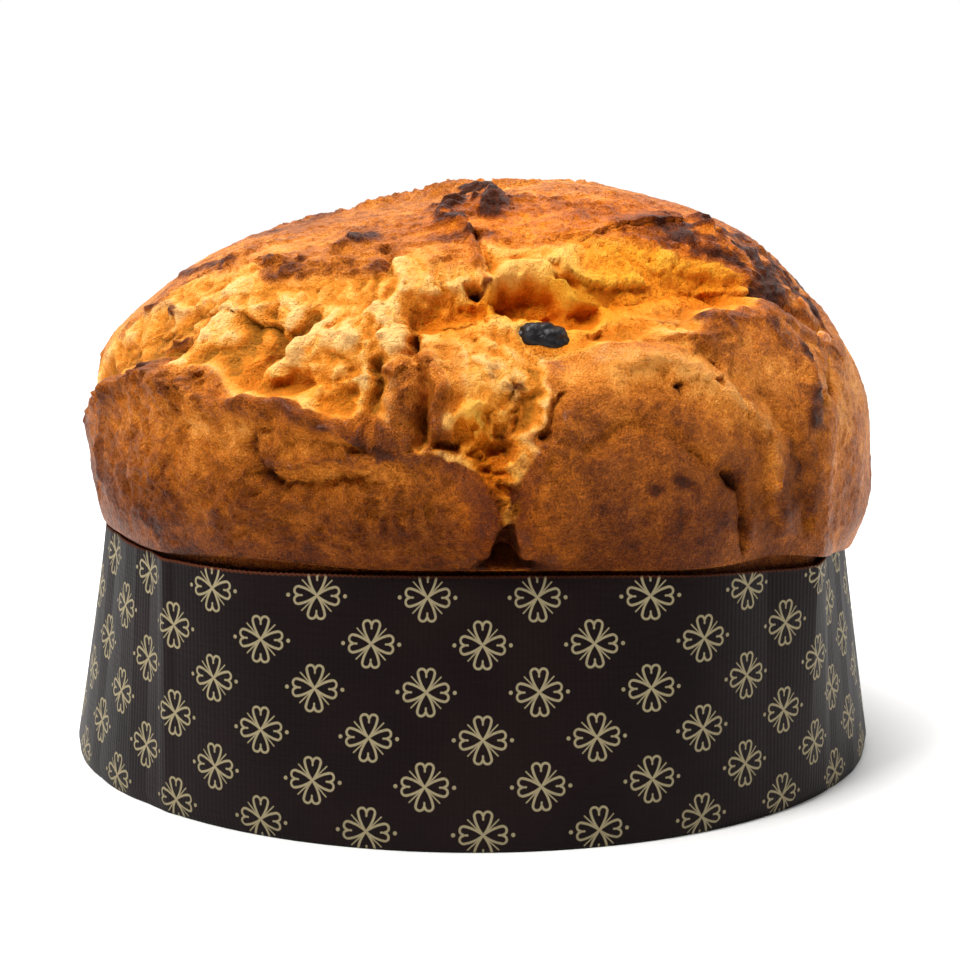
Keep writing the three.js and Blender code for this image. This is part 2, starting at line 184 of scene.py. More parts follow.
class Noise:
    """Seeded noise on arrays of points: soft gradient noise, and the gaps between random cells."""

    TABLE = 256
    SHIFT_STEP = 7.31
    AXIS_SHIFT = 3.7
    SOFT_GAIN = 1.6
    FIBRE_GAIN = 1.9
    FEWEST_TAPS = 5

    def __init__(self, seed: int) -> None:
        """Draws the tables that every value comes from."""
        rng = np.random.default_rng(seed)
        slopes = rng.normal(size=(self.TABLE, 3))
        self.slopes = (slopes / np.linalg.norm(slopes, axis=1, keepdims=True)).astype(np.float32)
        self.seats = rng.random((self.TABLE, 3)).astype(np.float32)
        self.order = rng.permutation(self.TABLE).astype(np.int32)

    def _pick(self, x: Array, y: Array, z: Array) -> Array:
        """Returns a table entry for each lattice point."""
        wrap = self.TABLE - 1
        return self.order[(self.order[(self.order[x & wrap] + y) & wrap] + z) & wrap]

    def _in_cells(self, points: Array, layer: Layer) -> Array:
        """Returns points measured in a layer's cells, one a row."""
        return (points.reshape(-1, 3) / layer.cell + layer.shift * self.SHIFT_STEP).astype(np.float32)

    def _soft(self, points: Array) -> Array:
        """Works out gradient noise.

        Args:
            points: Points measured in cells.

        Returns:
            One value for each point, from about -1 to 1.
        """
        base = np.floor(points).astype(np.int32)
        inside = points - base
        fade = inside * inside * inside * (inside * (inside * 6 - 15) + 10)
        total = np.zeros(len(points), np.float32)
        for corner in np.ndindex(2, 2, 2):
            seat = base + np.array(corner, np.int32)
            slope = self.slopes[self._pick(seat[:, 0], seat[:, 1], seat[:, 2])]
            away = inside - np.array(corner, np.float32)
            weight = np.where(np.array(corner, bool), fade, 1 - fade).prod(axis=1)
            total += weight * (slope * away).sum(axis=1)
        return total * self.SOFT_GAIN

    def _cells(self, points: Array) -> Array:
        """Measures how far points are from seats scattered one to a cell.

        Args:
            points: Points measured in cells.

        Returns:
            The distances to the nearest two seats, in cells.
        """
        base = np.floor(points).astype(np.int32)
        first = np.full(len(points), np.inf, np.float32)
        second = first.copy()
        for offset in np.ndindex(3, 3, 3):
            cell = base + np.array(offset, np.int32) - 1
            seat = cell + self.seats[self._pick(cell[:, 0], cell[:, 1], cell[:, 2])]
            gap = np.sqrt(((points - seat) ** 2).sum(axis=1))
            second = np.minimum(second, np.maximum(first, gap))
            first = np.minimum(first, gap)
        return np.stack([first, second], axis=1)

    def soft(self, points: Array, layer: Layer) -> Array:
        """Returns one layer of gradient noise, from about -1 to 1."""
        return in_chunks(self._soft, self._in_cells(points, layer)).reshape(points.shape[:-1])

    def layers(self, points: Array, layer: Layer) -> Array:
        """Returns soft noise with finer layers added, each half as wide and strong as the last.

        Args:
            points: Points in millimetres, in any array ending with an axis of 3.
            layer: The widest layer, and how many there are.

        Returns:
            One value for each point, before the layer's strength.
        """
        total = np.zeros(points.shape[:-1], np.float32)
        for number in range(layer.count):
            halved = 2**number
            finer = Layer(layer.cell / halved, 1, layer.shift + number)
            total += self.soft(points, finer) / halved
        return total

    def push(self, points: Array, layer: Layer) -> Array:
        """Returns points moved about by soft noise, by up to about the layer's strength."""
        shifts = [layer.shift + axis * self.AXIS_SHIFT for axis in range(3)]
        moves = [self.soft(points, Layer(layer.cell, 1, shift)) for shift in shifts]
        return points + layer.strength * np.stack(moves, axis=-1)

    def fibres(self, points: Array, along: Array, layer: Layer) -> Array:
        """Returns noise smeared along a direction, which looks like fibres or wrinkles.

        Args:
            points: Points in millimetres.
            along: The unit direction of the fibres at each point.
            layer: The fibres' width and reach.

        Returns:
            One value for each point, from about -1 to 1, before the layer's strength.
        """
        taps = np.linspace(-1, 1, max(self.FEWEST_TAPS, int(2 * layer.reach / layer.cell) + 1))
        total = sum(self.soft(points + along * (tap * layer.reach), layer) for tap in taps)
        return total / len(taps) * self.FIBRE_GAIN

    def cells(self, points: Array, layer: Layer) -> tuple[Array, Array]:
        """Returns how far each point is from the nearest two of many scattered seats, in cells."""
        both = in_chunks(self._cells, self._in_cells(points, layer)).reshape(*points.shape[:-1], 2)
        return both[..., 0], both[..., 1]


def blurred(values: Array, reach: int) -> Array:
    """Blurs a grid whose columns run round.

    Args:
        values: The grid's values.
        reach: Over how many rows and columns to each side they are blurred, twice.

    Returns:
        The blurred values.
    """
    out = values
    span = 2 * reach + 1
    for _ in range(2):
        wide = np.concatenate([out[:, -reach:], out, out[:, :reach]], axis=1)
        sums = np.cumsum(np.pad(wide, ((0, 0), (1, 0))), axis=1, dtype=np.float64)
        out = (sums[:, span:] - sums[:, :-span]) / span
        tall = np.pad(out, ((reach, reach), (0, 0)), mode="edge")
        sums = np.cumsum(np.pad(tall, ((1, 0), (0, 0))), axis=0, dtype=np.float64)
        out = (sums[span:] - sums[:-span]) / span
    return out.astype(np.float32)


@dataclass(frozen=True)
class Dent:
    """A soft swelling or dent round an azimuth, in millimetres out."""

    azimuth: float
    width: float
    out: float

    def soft(self, azimuth: Any) -> Any:
        """Returns how far it stands out at an azimuth, where it falls off softly."""
        return self.out * swell(azimuth, self.azimuth, self.width)

    def creased(self, azimuth: Any) -> Any:
        """Returns how far it stands out at an azimuth, where it is a sharp crease."""
        return self.out * fold(azimuth, self.azimuth, self.width)


@dataclass
class CaseForm:
    """The paper case's plain form: a round foot, and a rim pulled in to a rounded square."""

    foot_radius: float = 105
    height: float = 61.8
    half_side: float = 95.3
    squareness: float = 2.6
    foot_turn: float = 3
    foot_tuck: float = 0.8
    folds: tuple[Dent, ...] = (
        Dent(-43, 9, 1),
        Dent(50, 9, 3.4),
        Dent(133, 9, 2.4),
        Dent(-138, 9, 2.2),
    )
    dents: tuple[Dent, ...] = (
        Dent(-31, 9, 2.8),
        Dent(29, 10, 3.5),
        Dent(-58, 9, -1.6),
        Dent(64, 8, -1.8),
        Dent(-100, 12, -0.8),
        Dent(112, 10, -1),
        Dent(170, 14, -1.2),
    )
    foot_swell: Dent = Dent(-90, 40, 1.5)
    rim_sag: Dent = Dent(50, 16, -3)

    def rim_radius(self, azimuth: Any) -> Any:
        """Returns the rim's outer radius at an azimuth."""
        side = np.abs(np.sin(np.radians(azimuth))) ** self.squareness
        front = np.abs(np.cos(np.radians(azimuth))) ** self.squareness
        radius = self.half_side / (side + front) ** (1 / self.squareness)
        for crease in self.folds:
            radius = radius + crease.creased(azimuth)
        for dent in self.dents:
            radius = radius + dent.soft(azimuth)
        return radius

    def rim_height(self, azimuth: Any) -> Any:
        """Returns the rim's height."""
        return self.height + self.rim_sag.soft(azimuth)

    def radius(self, azimuth: Any, z: Any) -> Any:
        """Works out the outer radius at a height.

        Args:
            azimuth: The azimuths.
            z: The heights in millimetres.

        Returns:
            The radii in millimetres.
        """
        share = z / self.height
        foot = self.foot_radius + self.foot_swell.soft(azimuth)
        tuck = self.foot_tuck * (1 - smoothstep(0, self.foot_turn, z))
        return foot * (1 - share) + self.rim_radius(azimuth) * share - tuck


@dataclass
class CrownForm:
    """The crown's plain dome, before any tear, in the same terms as the loaf's solid."""

    case: CaseForm
    centre_z: float = 80
    rise: float = 66
    plain_radius: float = 100.5
    lip: float = 63
    lip_stand: float = 0.8
    overhang: float = 1.5
    fullness: float = 2.17
    underside_fullness: float = 2.2
    underside_rounding: float = 0.6
    halvings: int = 22
    side_fullness: float = 0.03
    farthest: float = 1.3
    bulges: tuple[Dent, ...] = (
        Dent(-42, 24, 4.5),
        Dent(42, 26, 5),
        Dent(136, 28, 4),
        Dent(-134, 28, 4),
        Dent(90, 35, 2),
        Dent(-90, 35, -0.8),
    )
    sags: tuple[Dent, ...] = (
        Dent(85, 32, -9.5),
        Dent(-30, 10, 2),
        Dent(42, 8, 1.5),
        Dent(150, 24, -4),
        Dent(-145, 28, -3),
    )

    @property
    def centre(self) -> Array:
        """The crown's centre."""
        return np.array([0, 0, self.centre_z])

    def lip_height(self, azimuth: Any) -> Any:
        """Returns the height of the crown's lowest edge."""
        return self.lip + sum(sag.soft(azimuth) for sag in self.sags)

    def lip_radius(self, azimuth: Any) -> Any:
        """Returns the radius of the crown's lowest edge, just outside the paper."""
        return self.case.radius(azimuth, self.lip_height(azimuth)) + self.lip_stand

    def lip_latitude(self, azimuth: Any) -> Any:
        """Returns the latitude of the crown's lowest edge."""
        drop = self.lip_height(azimuth) - self.centre_z
        return np.degrees(np.arctan2(drop, self.lip_radius(azimuth)))

    def widest(self, azimuth: Any) -> Any:
        """Returns the crown's widest radius at an azimuth."""
        radius = self.plain_radius
        for bulge in self.bulges:
            radius = radius + bulge.soft(azimuth)
        return np.maximum(radius, self.lip_radius(azimuth) + self.overhang)

    def distance(self, azimuth: Any, latitude: Any) -> Any:
        """Returns how far the dome is from the crown's centre.

        Above the widest line the dome is a rounded quarter. Below it, the distance is
        halved in on, until it lies on an underside that rounds in to the lip.

        Args:
            azimuth: The azimuths.
            latitude: The latitudes.

        Returns:
            The distances in millimetres.
        """
        wide = self.widest(azimuth)
        across = np.abs(np.cos(np.radians(latitude)))
        along = np.abs(np.sin(np.radians(latitude)))
        n = self.fullness + self.side_fullness * np.sin(np.radians(azimuth))
        upper = ((across / wide) ** n + (along / self.rise) ** n) ** (-1 / n)
        lip = self.lip_radius(azimuth)
        drop = self.centre_z - self.lip_height(azimuth)
        near, far = 0 * upper, self.farthest * wide + 0 * upper
        for _ in range(self.halvings):
            middle = (near + far) / 2
            share = np.minimum(1, middle * along / drop) ** self.underside_fullness
            under = lip + (wide - lip) * (1 - share) ** self.underside_rounding
            short = middle * across < under
            near, far = np.where(short, middle, near), np.where(short, far, middle)
        return np.where(latitude >= 0, upper, near)

    def place(self, azimuth: Any, latitude: Any) -> Array:
        """Returns the points of the dome at some azimuths and latitudes."""
        reach = self.distance(azimuth, latitude)[..., None]
        return self.centre + heading(azimuth, latitude) * reach


class Profile(Enum):
    """How a stroke rises across its width."""

    ROUND = "a soft ridge or groove"
    SHARP = "a ridge or groove with a narrow crest and wide feet"
    FLAT = "a plateau or floor with steep sides"
    SHELF = "steep on its left, as one follows the path, and sloping off on its right"


SHARP_FALL = 1.6
SHARP_FOOT = Edge(1.6, 2.6)
FLAT_SIDE = Edge(0.55, 1.25)
SHELF_FACE = Edge(0, 0.22)


@dataclass(frozen=True)
class Stroke:
    """One pass of the sculptor's tool over the crown.

    Attributes:
        name: What it makes.
        path: The azimuths and latitudes that it passes.
        width: Half its width, in millimetres.
        out: How far it raises (+) or sinks (-) the surface, in millimetres.
        toast: How much browner (+) or paler (-) it leaves the surface. In a sunken hole,
        slot, cleft, fold or wrinkle this brown is painted shade.
        crumb: How much it bares (+) or skins over (-) the crumb.
        profile: How it rises across its width.
        rough: How high the small lumps on it are, in millimetres.
    """

    name: str
    path: tuple[Place, ...]
    width: float
    out: float
    toast: float = 0
    crumb: float = 0
    profile: Profile = Profile.ROUND
    rough: float = 0

    def rise(self, gap: Array, side: Array) -> Array:
        """Works out how the stroke rises across its width.

        Args:
            gap: The distances from its path, in millimetres.
            side: The same, with a minus sign on the path's right.

        Returns:
            The rise, from 0 to 1.
        """
        share = gap / self.width
        if self.profile is Profile.SHARP:
            return np.exp(-SHARP_FALL * share) * (1 - SHARP_FOOT.at(share))
        if self.profile is Profile.FLAT:
            return 1 - FLAT_SIDE.at(share)
        if self.profile is Profile.SHELF:
            return np.where(side > 0, 1 - SHELF_FACE.at(share), np.exp(-share * share))
        return np.exp(-share * share)


@dataclass(frozen=True)
class Tear:
    """A tear of the cross cut: places on its middle line, each with its half width.

    Attributes:
        name: Which tear it is.
        path: Azimuths, latitudes and half widths in millimetres.
        ragged: How far its left side, as one follows the path, frays out without an edge.
        depth: How deep it is against the deepest.
    """

    name: str
    path: tuple[tuple[float, float, float], ...]
    ragged: float = 0
    depth: float = 1


@dataclass(frozen=True)
class Mound:
    """A broad lump (+) or hollow (-) of the crown, with its half widths in millimetres."""

    name: str
    azimuth: float
    latitude: float
    across: float
    along: float
    out: float


class Ground(Enum):
    """What a patch changes."""

    ALL = "crust and crumb alike"
    CRUST = "crust alone"
    CRUMB = "torn crumb alone"


@dataclass(frozen=True)
class Patch:
    """A patch of the crown with a soft edge: its middle line, its half width in millimetres,
    what it adds (+) or takes away (-) in its middle, and what it changes.
    """

    name: str
    path: tuple[Place, ...]
    width: float
    share: float = 1
    ground: Ground = Ground.ALL


TEARS = (
    Tear("left arm", ((-88, 2, 3), (-70, 14, 8), (-50, 23, 15), (-25, 22, 18), (-6, 25, 13)), 1),
    Tear("pocket of the thumb", ((-15, 15, 5), (-10, 12, 6), (-7, 9, 3)), 0.3, 0.5),
    Tear(
        "right arm",
        ((-6, 25, 13), (12, 26, 13), (30, 29, 15), (42, 29, 10), (58, 23, 3), (66, 18, 2.5)),
        1,
    ),
    Tear("right seam", ((64, 17, 1.6), (58, 12, 1.4), (51, 9, 1.2), (47, 4, 0.6)), 0, 0.45),
    Tear(
        "front arm",
        (
            (2, 25, 13),
            (2.6, 13, 13),
            (3, 8, 8),
            (3.4, 4, 4.4),
            (3.8, 1, 1.8),
            (4, -2, 0.8),
            (4.4, -5, 0.4),
        ),
    ),
    Tear("back arm", ((-176, 66, 3), (178, 50, 9), (172, 30, 10), (176, 10, 5), (178, -8, 3))),
    Tear(
        "right side split",
        ((70, 18, 1.5), (82, 24, 2.5), (92, 26, 3.5), (104, 31, 3), (112, 36, 1)),
        0.4,
        0.8,
    ),
)

MOUNDS = (
    Mound("left front flap", -36, 2, 34, 14, 1.6),
    Mound("right front flap", 24, 2, 24, 22, 2.4),
    Mound("inner round of the right flap", 18, -3, 15, 12, 1.0),
    Mound("left flap's lip", -34, 11, 34, 4.5, 2.4),
    Mound("tongue of crust", -18, 7, 17, 6, 1.6),
    Mound("middle lump", 0, 15, 13, 10, 5.5),
    Mound("crumb lump", -38, 20, 9, 10, 3.5),
    Mound("crumb roll", -22, 20, 9, 10, 3),
    Mound("flat top", 0, 86, 28, 24, -2.2),
    Mound("burnt crag", 0, 80, 6, 5, 1.6),
    Mound("right brow", 88, 68, 30, 24, 2),
    Mound("left shoulder", -76, 13, 30, 13, 1.8),
    Mound("left fall", -78, 60, 46, 26, -6),
    Mound("right fall", 84, 24, 40, 16, -1.6),
    Mound("right belly", 88, -7, 34, 10, 1.6),
    Mound("right shoulder", 84, 42, 40, 20, 1.8),
    Mound("left slope", -88, 36, 40, 22, -1.6),
    Mound("back right shoulder", 60, 38, 26, 18, 1.5),
    Mound("back left flap", -140, 12, 40, 24, 1.6),
    Mound("back right flap", 140, 10, 38, 24, 1.8),
)

# The toast in the upright crevice, the slanted groove, the groove beside the thumb, the main cleft, the dark
# fold and the upper fold is painted shade.
LEFT_ARM_STROKES = (
    Stroke("long sheet", ((-43, 15), (-42, 21), (-41, 28)), 5, 3.0, -0.3, 0.5),
    Stroke("upright crevice", ((-33, 24), (-31, 20), (-30, 15)), 1.5, -4.2, 0.3, 0, Profile.SHARP),
    Stroke("arched hollow", ((-35, 22), (-34, 19)), 3.2, -3.4, 0, 0.3),
    Stroke("slanted groove", ((-26, 24), (-28, 21), (-30, 18)), 2.6, -3.8, 0.1, 0.4),
    Stroke("upper roll", ((-28, 15), (-24, 20), (-19, 23), (-14, 25)), 5.8, 3.8, -0.2, 0.8, rough=1.0),
    Stroke("lower roll", ((-21, 13), (-19, 16), (-16, 20), (-12, 22)), 4.6, 3.2, 0, 0.6, rough=1.0),
    Stroke("hollow under the roll", ((-29, 14), (-24, 13)), 3.4, -3.4, -0.1, 1),
    Stroke("second hollow", ((-20, 12.5), (-17, 12.5)), 3.2, -3.4, -0.1, 1),
    Stroke("small upright lobe", ((-15, 18), (-15, 13)), 2.6, 2.6, 0.1, 0.3),
    Stroke("thumb of crumb", ((-11, 20), (-10, 15), (-9.9, 11), (-11, 8.4)), 4.0, 3.2, 0.45, -0.6),
    Stroke("groove beside the thumb", ((-14, 18), (-13.2, 14), (-13.8, 10)), 1.4, -3.8, 0.25, 0.3),
    Stroke("main cleft", ((-8.2, 22), (-7.8, 19), (-6.8, 15), (-6.9, 11), (-7.2, 8)), 1.5, -8, 0.5, 0),
    Stroke("dark fold", ((-53, 14), (-47, 17), (-45, 20), (-42, 24)), 1.5, -2.6, 0.7, -0.1),
    Stroke("fold's burnt edge", ((-50, 18), (-46, 22)), 2.6, 1.2, 0.4, -0.2, rough=0.8),
    Stroke("upper fold", ((-66, 28), (-60, 31), (-54, 34)), 1.4, -1.8, 0.75, -0.2),
    Stroke("left brown crest", ((-67, 22), (-58, 24), (-52, 24), (-46, 26)), 1.8, 1.0, 0.8, -0.5, rough=1.2),
    Stroke("lower brown crest", ((-53, 17), (-47, 19), (-42, 20)), 2.0, 0.9, 0.8, -0.5, rough=1.4),
    Stroke("dark upper edge", ((-76, 30), (-64, 33), (-56, 35)), 2.4, 0.6, 1.0, -0.8, rough=0.4),
    Stroke("brown knob", ((-30, 44), (-26, 46)), 2.4, 1.0, 1.4, -0.9, rough=1.0),
    Stroke("brown skin by the lump", ((-15, 29), (-12, 26), (-11, 23)), 2.2, 0.2, 0.6, -0.4),
    Stroke("left strip", ((-61, 13), (-63, 8), (-66, 2), (-68, -4)), 3.4, -2.2, -0.25, 0.5),
    Stroke("brown edge of the lip", ((-62, 13), (-56, 14.6), (-48, 15)), 1.6, 0.8, 0.35, -0.6, rough=0.7),
)

# The toast in the caves' shaded backs, the slots, the pit, the holes, the torn flap's face and the gap is
# painted shade.
MIDDLE_STROKES = (
    Stroke("left cave", ((-7.4, 26.4), (-3, 26.8), (1, 28)), 5.0, -6.5, 0, 1),
    Stroke("left cave's shaded back", ((-6, 29.4), (-2, 30.2), (1, 31)), 1.8, -1.0, 0.8, 0),
    Stroke("left cave's slot", ((-1, 31.4), (2, 30.6)), 1.3, -4.5, 0.9, 0.2),
    Stroke("pillar between the caves", ((3.8, 30), (5, 26)), 2.4, 1.2, 0.1, -0.4),
    Stroke("middle cave", ((8, 28.6), (12, 28.6)), 5.8, -9, 0, 1, Profile.FLAT),
    Stroke("middle cave's shaded back", ((5.8, 28.6), (7.6, 30.6), (11, 31.2)), 2.6, -0.8, 0.55, 0),
    Stroke("cave's brow", ((4, 30.6), (7.4, 34), (12, 35), (16, 32)), 1.6, 2.2, 0.25, 0),
    Stroke("right cave", ((16.4, 26), (19, 26)), 4.2, -4.5, -0.1, 1, Profile.FLAT),
    Stroke("shelf over the caves", ((30, 31), (21, 32), (15, 35)), 4, 2.6, 0.05, 0.4, Profile.SHELF),
    Stroke("slot under the shelf", ((15, 33), (19, 32)), 1.3, -4, 0.35, 0.3),
    Stroke("ledge over the amber", ((51, 43), (38, 43), (27, 41)), 5, 1.8, 0.1, 0.2, Profile.SHELF),
    Stroke("amber hollow", ((26, 30), (35, 31), (42, 29)), 9, -4, -0.2, 1),
    Stroke("pit in the amber", ((44, 27), (44.6, 26)), 1.6, -2.4, 0.5, 0),
    Stroke("brown flake", ((29, 23), (36, 23)), 1.3, 1.4, 0.75, -0.7),
    Stroke("middle lump's pale edge", ((-6, 23), (0, 25), (3, 25), (8, 23.5)), 1.8, 1.8, -0.5, 0.8),
    Stroke("middle lump's skin", ((-4.6, 20), (-4.2, 15), (-4.2, 11.6)), 7, 0.4, 0.05, -0.6, rough=0.9),
    Stroke("lump's torn right side", ((3, 19), (6, 15), (8, 11)), 6, 0.2, 0.2, 0.1, rough=1.0),
    Stroke("brown smudge", ((6.4, 14), (7.4, 12.4)), 2.6, 0, 0.55, -0.3),
    Stroke("torn flap's edge", ((-6.4, 9.6), (-3, 10.2), (1.4, 12.2)), 1.2, 2.4, -0.2, 0.3),
    Stroke("torn flap's face", ((-3, 8.4), (0, 8.8)), 2.2, -1.2, 0.16, 0.1),
    Stroke("hole under the flap", ((-4.6, 7.8), (-2.4, 7)), 1.5, -5, 0.6, 0.2),
    Stroke("thin upright flap", ((1.4, 11), (1.8, 8.8), (0.2, 7)), 0.9, 2.0, -0.15, 0.2),
    Stroke("hole in the web", ((3.4, 7), (5, 6.8)), 1.5, -4, 0.5, 0),
    Stroke("second hole in the web", ((2.6, 3.4), (3.6, 3)), 1.5, -3.6, 0.5, 0),
    Stroke("third hole in the web", ((3.6, 1.2), (4.2, 0.8)), 1.2, -3, 0.5, 0),
    Stroke("crumb beside the gap", ((7.4, 6), (5.8, 2.6), (4.6, -1), (5.2, -4)), 1.3, 0.7, 0.3, 0.7),
    # The gap and its mouth are toasted to burnt black: painted shade between the flaps.
    Stroke("gap between the flaps", ((4.5, -5), (4.4, -8), (4.2, -12)), 2.2, -9, 3, -1, Profile.FLAT),
    Stroke("mouth of the gap", ((-1.2, -11), (4.2, -8.2), (9.8, -11)), 3, -9, 3, -1, Profile.FLAT),
)

LEFT_LIP = (
    (-60, 12), (-51, 13.5), (-43, 13.5), (-35, 12), (-27, 12), (-18, 9.6),
    (-12, 6.6), (-5, 6), (0, 4.2), (2.2, 1.4), (3.4, -2),
)
RIGHT_CREST = ((14, 16), (18, 18), (26, 17), (33, 13), (38.4, 7.6), (40.4, 2), (42, -6))
VALLEY = ((18, 21.5), (24, 21.5), (31, 18.5), (37, 14), (42, 8.6), (44.4, 2), (46, -5))
INNER_ARC = ((16, 7), (19, 8.6), (23, 8.4), (26, 7), (29, 4.4), (31.4, 1))

# The toast in the tongue's groove, hook and slot, in the sunken folds, the wrinkles and the small crack is
# painted shade.
LEFT_FLAP_STROKES = (
    Stroke("left flap's lip", LEFT_LIP, 6, 2.2, 0.0, -0.3, Profile.SHELF),
    Stroke("flap's golden edge", ((-12, 7.4), (-7, 6.9), (-3, 6), (0.6, 4.4)), 1.4, 0.9, -0.2, 0.9),
    Stroke("lip's knob", ((-41, 13.5), (-40, 11)), 1.5, 1.6, 0.6, -1, rough=0.6),
    Stroke("left part of the lip", ((-56, 12), (-48, 12.5), (-41, 12)), 4, 0.4, 0.1, -0.6, rough=0.8),
    Stroke("burnt lip ridge", ((-30, 12), (-26, 11.4), (-20, 9.8), (-15, 8)), 1.7, 1.4, 0.55, -1, rough=0.6),
    Stroke("ridge's end", ((-15, 8), (-11.4, 6.4)), 1.3, 1.0, 0.7, -1, rough=0.4),
    Stroke("tongue's upper groove", ((-22, 7.8), (-17, 6.8)), 1.6, -1.2, 0.3, -1),
    Stroke("tongue's hook", ((-25, 10.2), (-27.6, 8), (-28, 6), (-26, 3.4)), 1.3, -2.4, 0.85, -1),
    Stroke("tongue's slot", ((-16, 7.6), (-12, 6.2)), 1.2, -3.0, 0.9, -0.6),
    Stroke("tongue's crest", ((-11, 5.4), (-16, 4.6), (-20, 4), (-26, 4.6)), 3, 2.0, 0.2, -1, Profile.SHELF),
    Stroke("fold under the tongue", ((-27, 3.4), (-24, 2.2), (-20, 2), (-14, 3.8)), 1.2, -2.2, 0.35, -1),
    Stroke("lower fold", ((-26, -0.4), (-20, 1), (-15, 2.8)), 1.4, -1.3, 0.25, -1),
    Stroke("broad roll below", ((-33, -3), (-27, -1.6), (-21, -0.6)), 3, 1.3, 0, -1),
    Stroke("left end's fold", ((-58, 11), (-62, 5), (-64, -2)), 2, 1.8, 0.15, -0.6),
    Stroke("wrinkle at the left end", ((-54, 10), (-57, 4), (-57, -2)), 1.2, -1.2, 0.15, -1),
    Stroke("second wrinkle there", ((-49, 9), (-52, 3), (-51, -3)), 1.2, -1.0, 0.15, -1),
    Stroke("corner fold", ((-47, -3), (-43, -7), (-38, -8)), 1.1, -0.9, 0.2, -1),
    Stroke("low fold", ((-31, -6.5), (-26, -4), (-19, -1)), 1.3, -1.2, 0.2, -1),
    Stroke("corner knob", ((-38, -9), (-35, -9)), 2.4, 1.6, 0.5, -1),
    Stroke("wrinkle down the flap", ((-38, 6), (-42, 0), (-46, -5)), 1.2, -0.9, 0.15, -1),
    Stroke("fan wrinkle", ((-39, 9), (-34, 5), (-31, 0)), 1.1, -0.9, 0.1, -1),
    Stroke("dark blotch low left", ((-45, -6), (-40, -8)), 4, 0, 0.5, -1),
    Stroke("dark blotch low middle", ((-30, -8), (-22, -9)), 5, 0, 0.35, -1),
    Stroke("dark blotch low right", ((-12, -5), (-6, -9)), 5, 0, 0.2, -1),
    Stroke("small crack", ((-20, -11), (-19.6, -8)), 0.7, -1, 0.3, -1),
)

# The toast in the valley, the inner arc, the slots, the flap's left edge and the right crease is painted
# shade.
RIGHT_FLAP_STROKES = (
    Stroke("crest of the right flap", RIGHT_CREST, 2.8, 2.4, -0.3, 0.3, rough=1.2),
    Stroke("valley beyond the crest", VALLEY, 2.2, -2.0, 0.08, 0.1),
    Stroke("inner arc", INNER_ARC, 1.9, -2.6, 0.12, -0.3, Profile.SHARP),
    Stroke("slot in the crest", ((25.6, 20.4), (28.4, 19.6)), 0.9, -2.6, 0.7, 0),
    Stroke("second slot", ((30.4, 14.6), (33.4, 12.8)), 1.1, -3, 1.0, 0),
    Stroke("third slot", ((27, 13.5), (28, 12)), 0.8, -2, 0.8, 0),
    Stroke("fourth slot", ((35, 12), (37.6, 9.5)), 0.7, -2, 0.8, 0),
    Stroke("fifth slot", ((17, 15), (20, 15.6)), 0.8, -1.8, 0.5, 0),
    Stroke("sixth slot", ((38.4, 8), (38.6, 5.6)), 0.9, -2, 0.8, 0),
    Stroke("seventh slot", ((33.6, 16), (35.4, 14.4)), 0.7, -1.8, 0.6, 0),
    Stroke("eighth slot", ((20, 17.4), (22, 17.2)), 0.6, -1.4, 0.5, 0),
    Stroke("right flap's left edge", ((15.2, 17), (12.4, 14), (11, 11.6), (9.4, 8)), 1.2, -5, 0.4, 0),
    Stroke("right flap's low edge", ((8.2, 7), (6.8, 4), (5.6, 1), (5.4, -3), (7, -7)), 1.0, -1.0, 0, 0.2),
    Stroke("facet beside the edge", ((10.4, 6), (9.8, 3.4), (8.4, 1), (6.6, 0)), 1.2, 0.8, 0.08, -0.2),
    Stroke("dimple", ((13.6, 6.6), (14.6, 5.8)), 1.7, -1.1, 0, -0.4),
    Stroke("right crease", ((31.4, 2), (32.6, 0), (34.4, -3.5), (35.4, -8)), 1.2, -3.0, 0.6, -0.4),
    Stroke("small tongue", ((36, -3.6), (37.4, -8)), 1.8, 1.8, -0.1, 0.1),
    Stroke("brown arc", ((26.6, 10), (30.5, 7), (33, 3)), 3, 0.3, 0.4, -0.5),
    Stroke("brown patches low right", ((43, 3), (43, -3), (42, -8)), 3.4, 0.2, 0.5, -0.5),
    Stroke("brown patch below the crest", ((22, 10.4), (26, 10)), 2.4, 0, 0.4, -0.5),
    Stroke("first spot", ((22, 1), (22.3, 0.6)), 1.2, -0.3, 0.8, -0.5),
    Stroke("second spot", ((25.4, 1.6), (27, 0.8)), 1.5, -0.3, 0.9, -0.5),
    Stroke("third spot", ((26, -3), (26.2, -3.8)), 1.1, -0.7, 1.1, -0.5),
)

RIGHT_SIDE_STROKES = (
    Stroke("burnt crust", ((50, 38), (58, 34), (66, 34), (74, 30)), 10, 0.4, 1.5, -1.4, rough=0.8),
    Stroke("burnt crust's lower part", ((54, 27), (60, 26), (70, 23)), 6, 0.4, 1.3, -1.2, rough=0.8),
    Stroke("burnt ragged lump", ((55, 41), (62, 41)), 4, 1.4, 0.7, -0.6, rough=1.8),
    Stroke("dark skin by the amber", ((42, 20), (47, 20), (50, 17)), 5, 0.4, 0.55, -0.9, rough=0.5),
    # The toast in the seam's holes is painted shade.
    Stroke("seam's first hole", ((57.4, 12), (55.6, 10.4)), 1.3, -4.4, 0.9, 0),
    Stroke("seam's second hole", ((52, 10.4), (50.6, 8.6)), 1.2, -3.4, 0.8, 0),
    Stroke("dark ridge by the seam", ((52.6, 16.6), (50, 12.5), (47.4, 7.6)), 2.1, 1.4, 0.95, -1, rough=0.8),
)

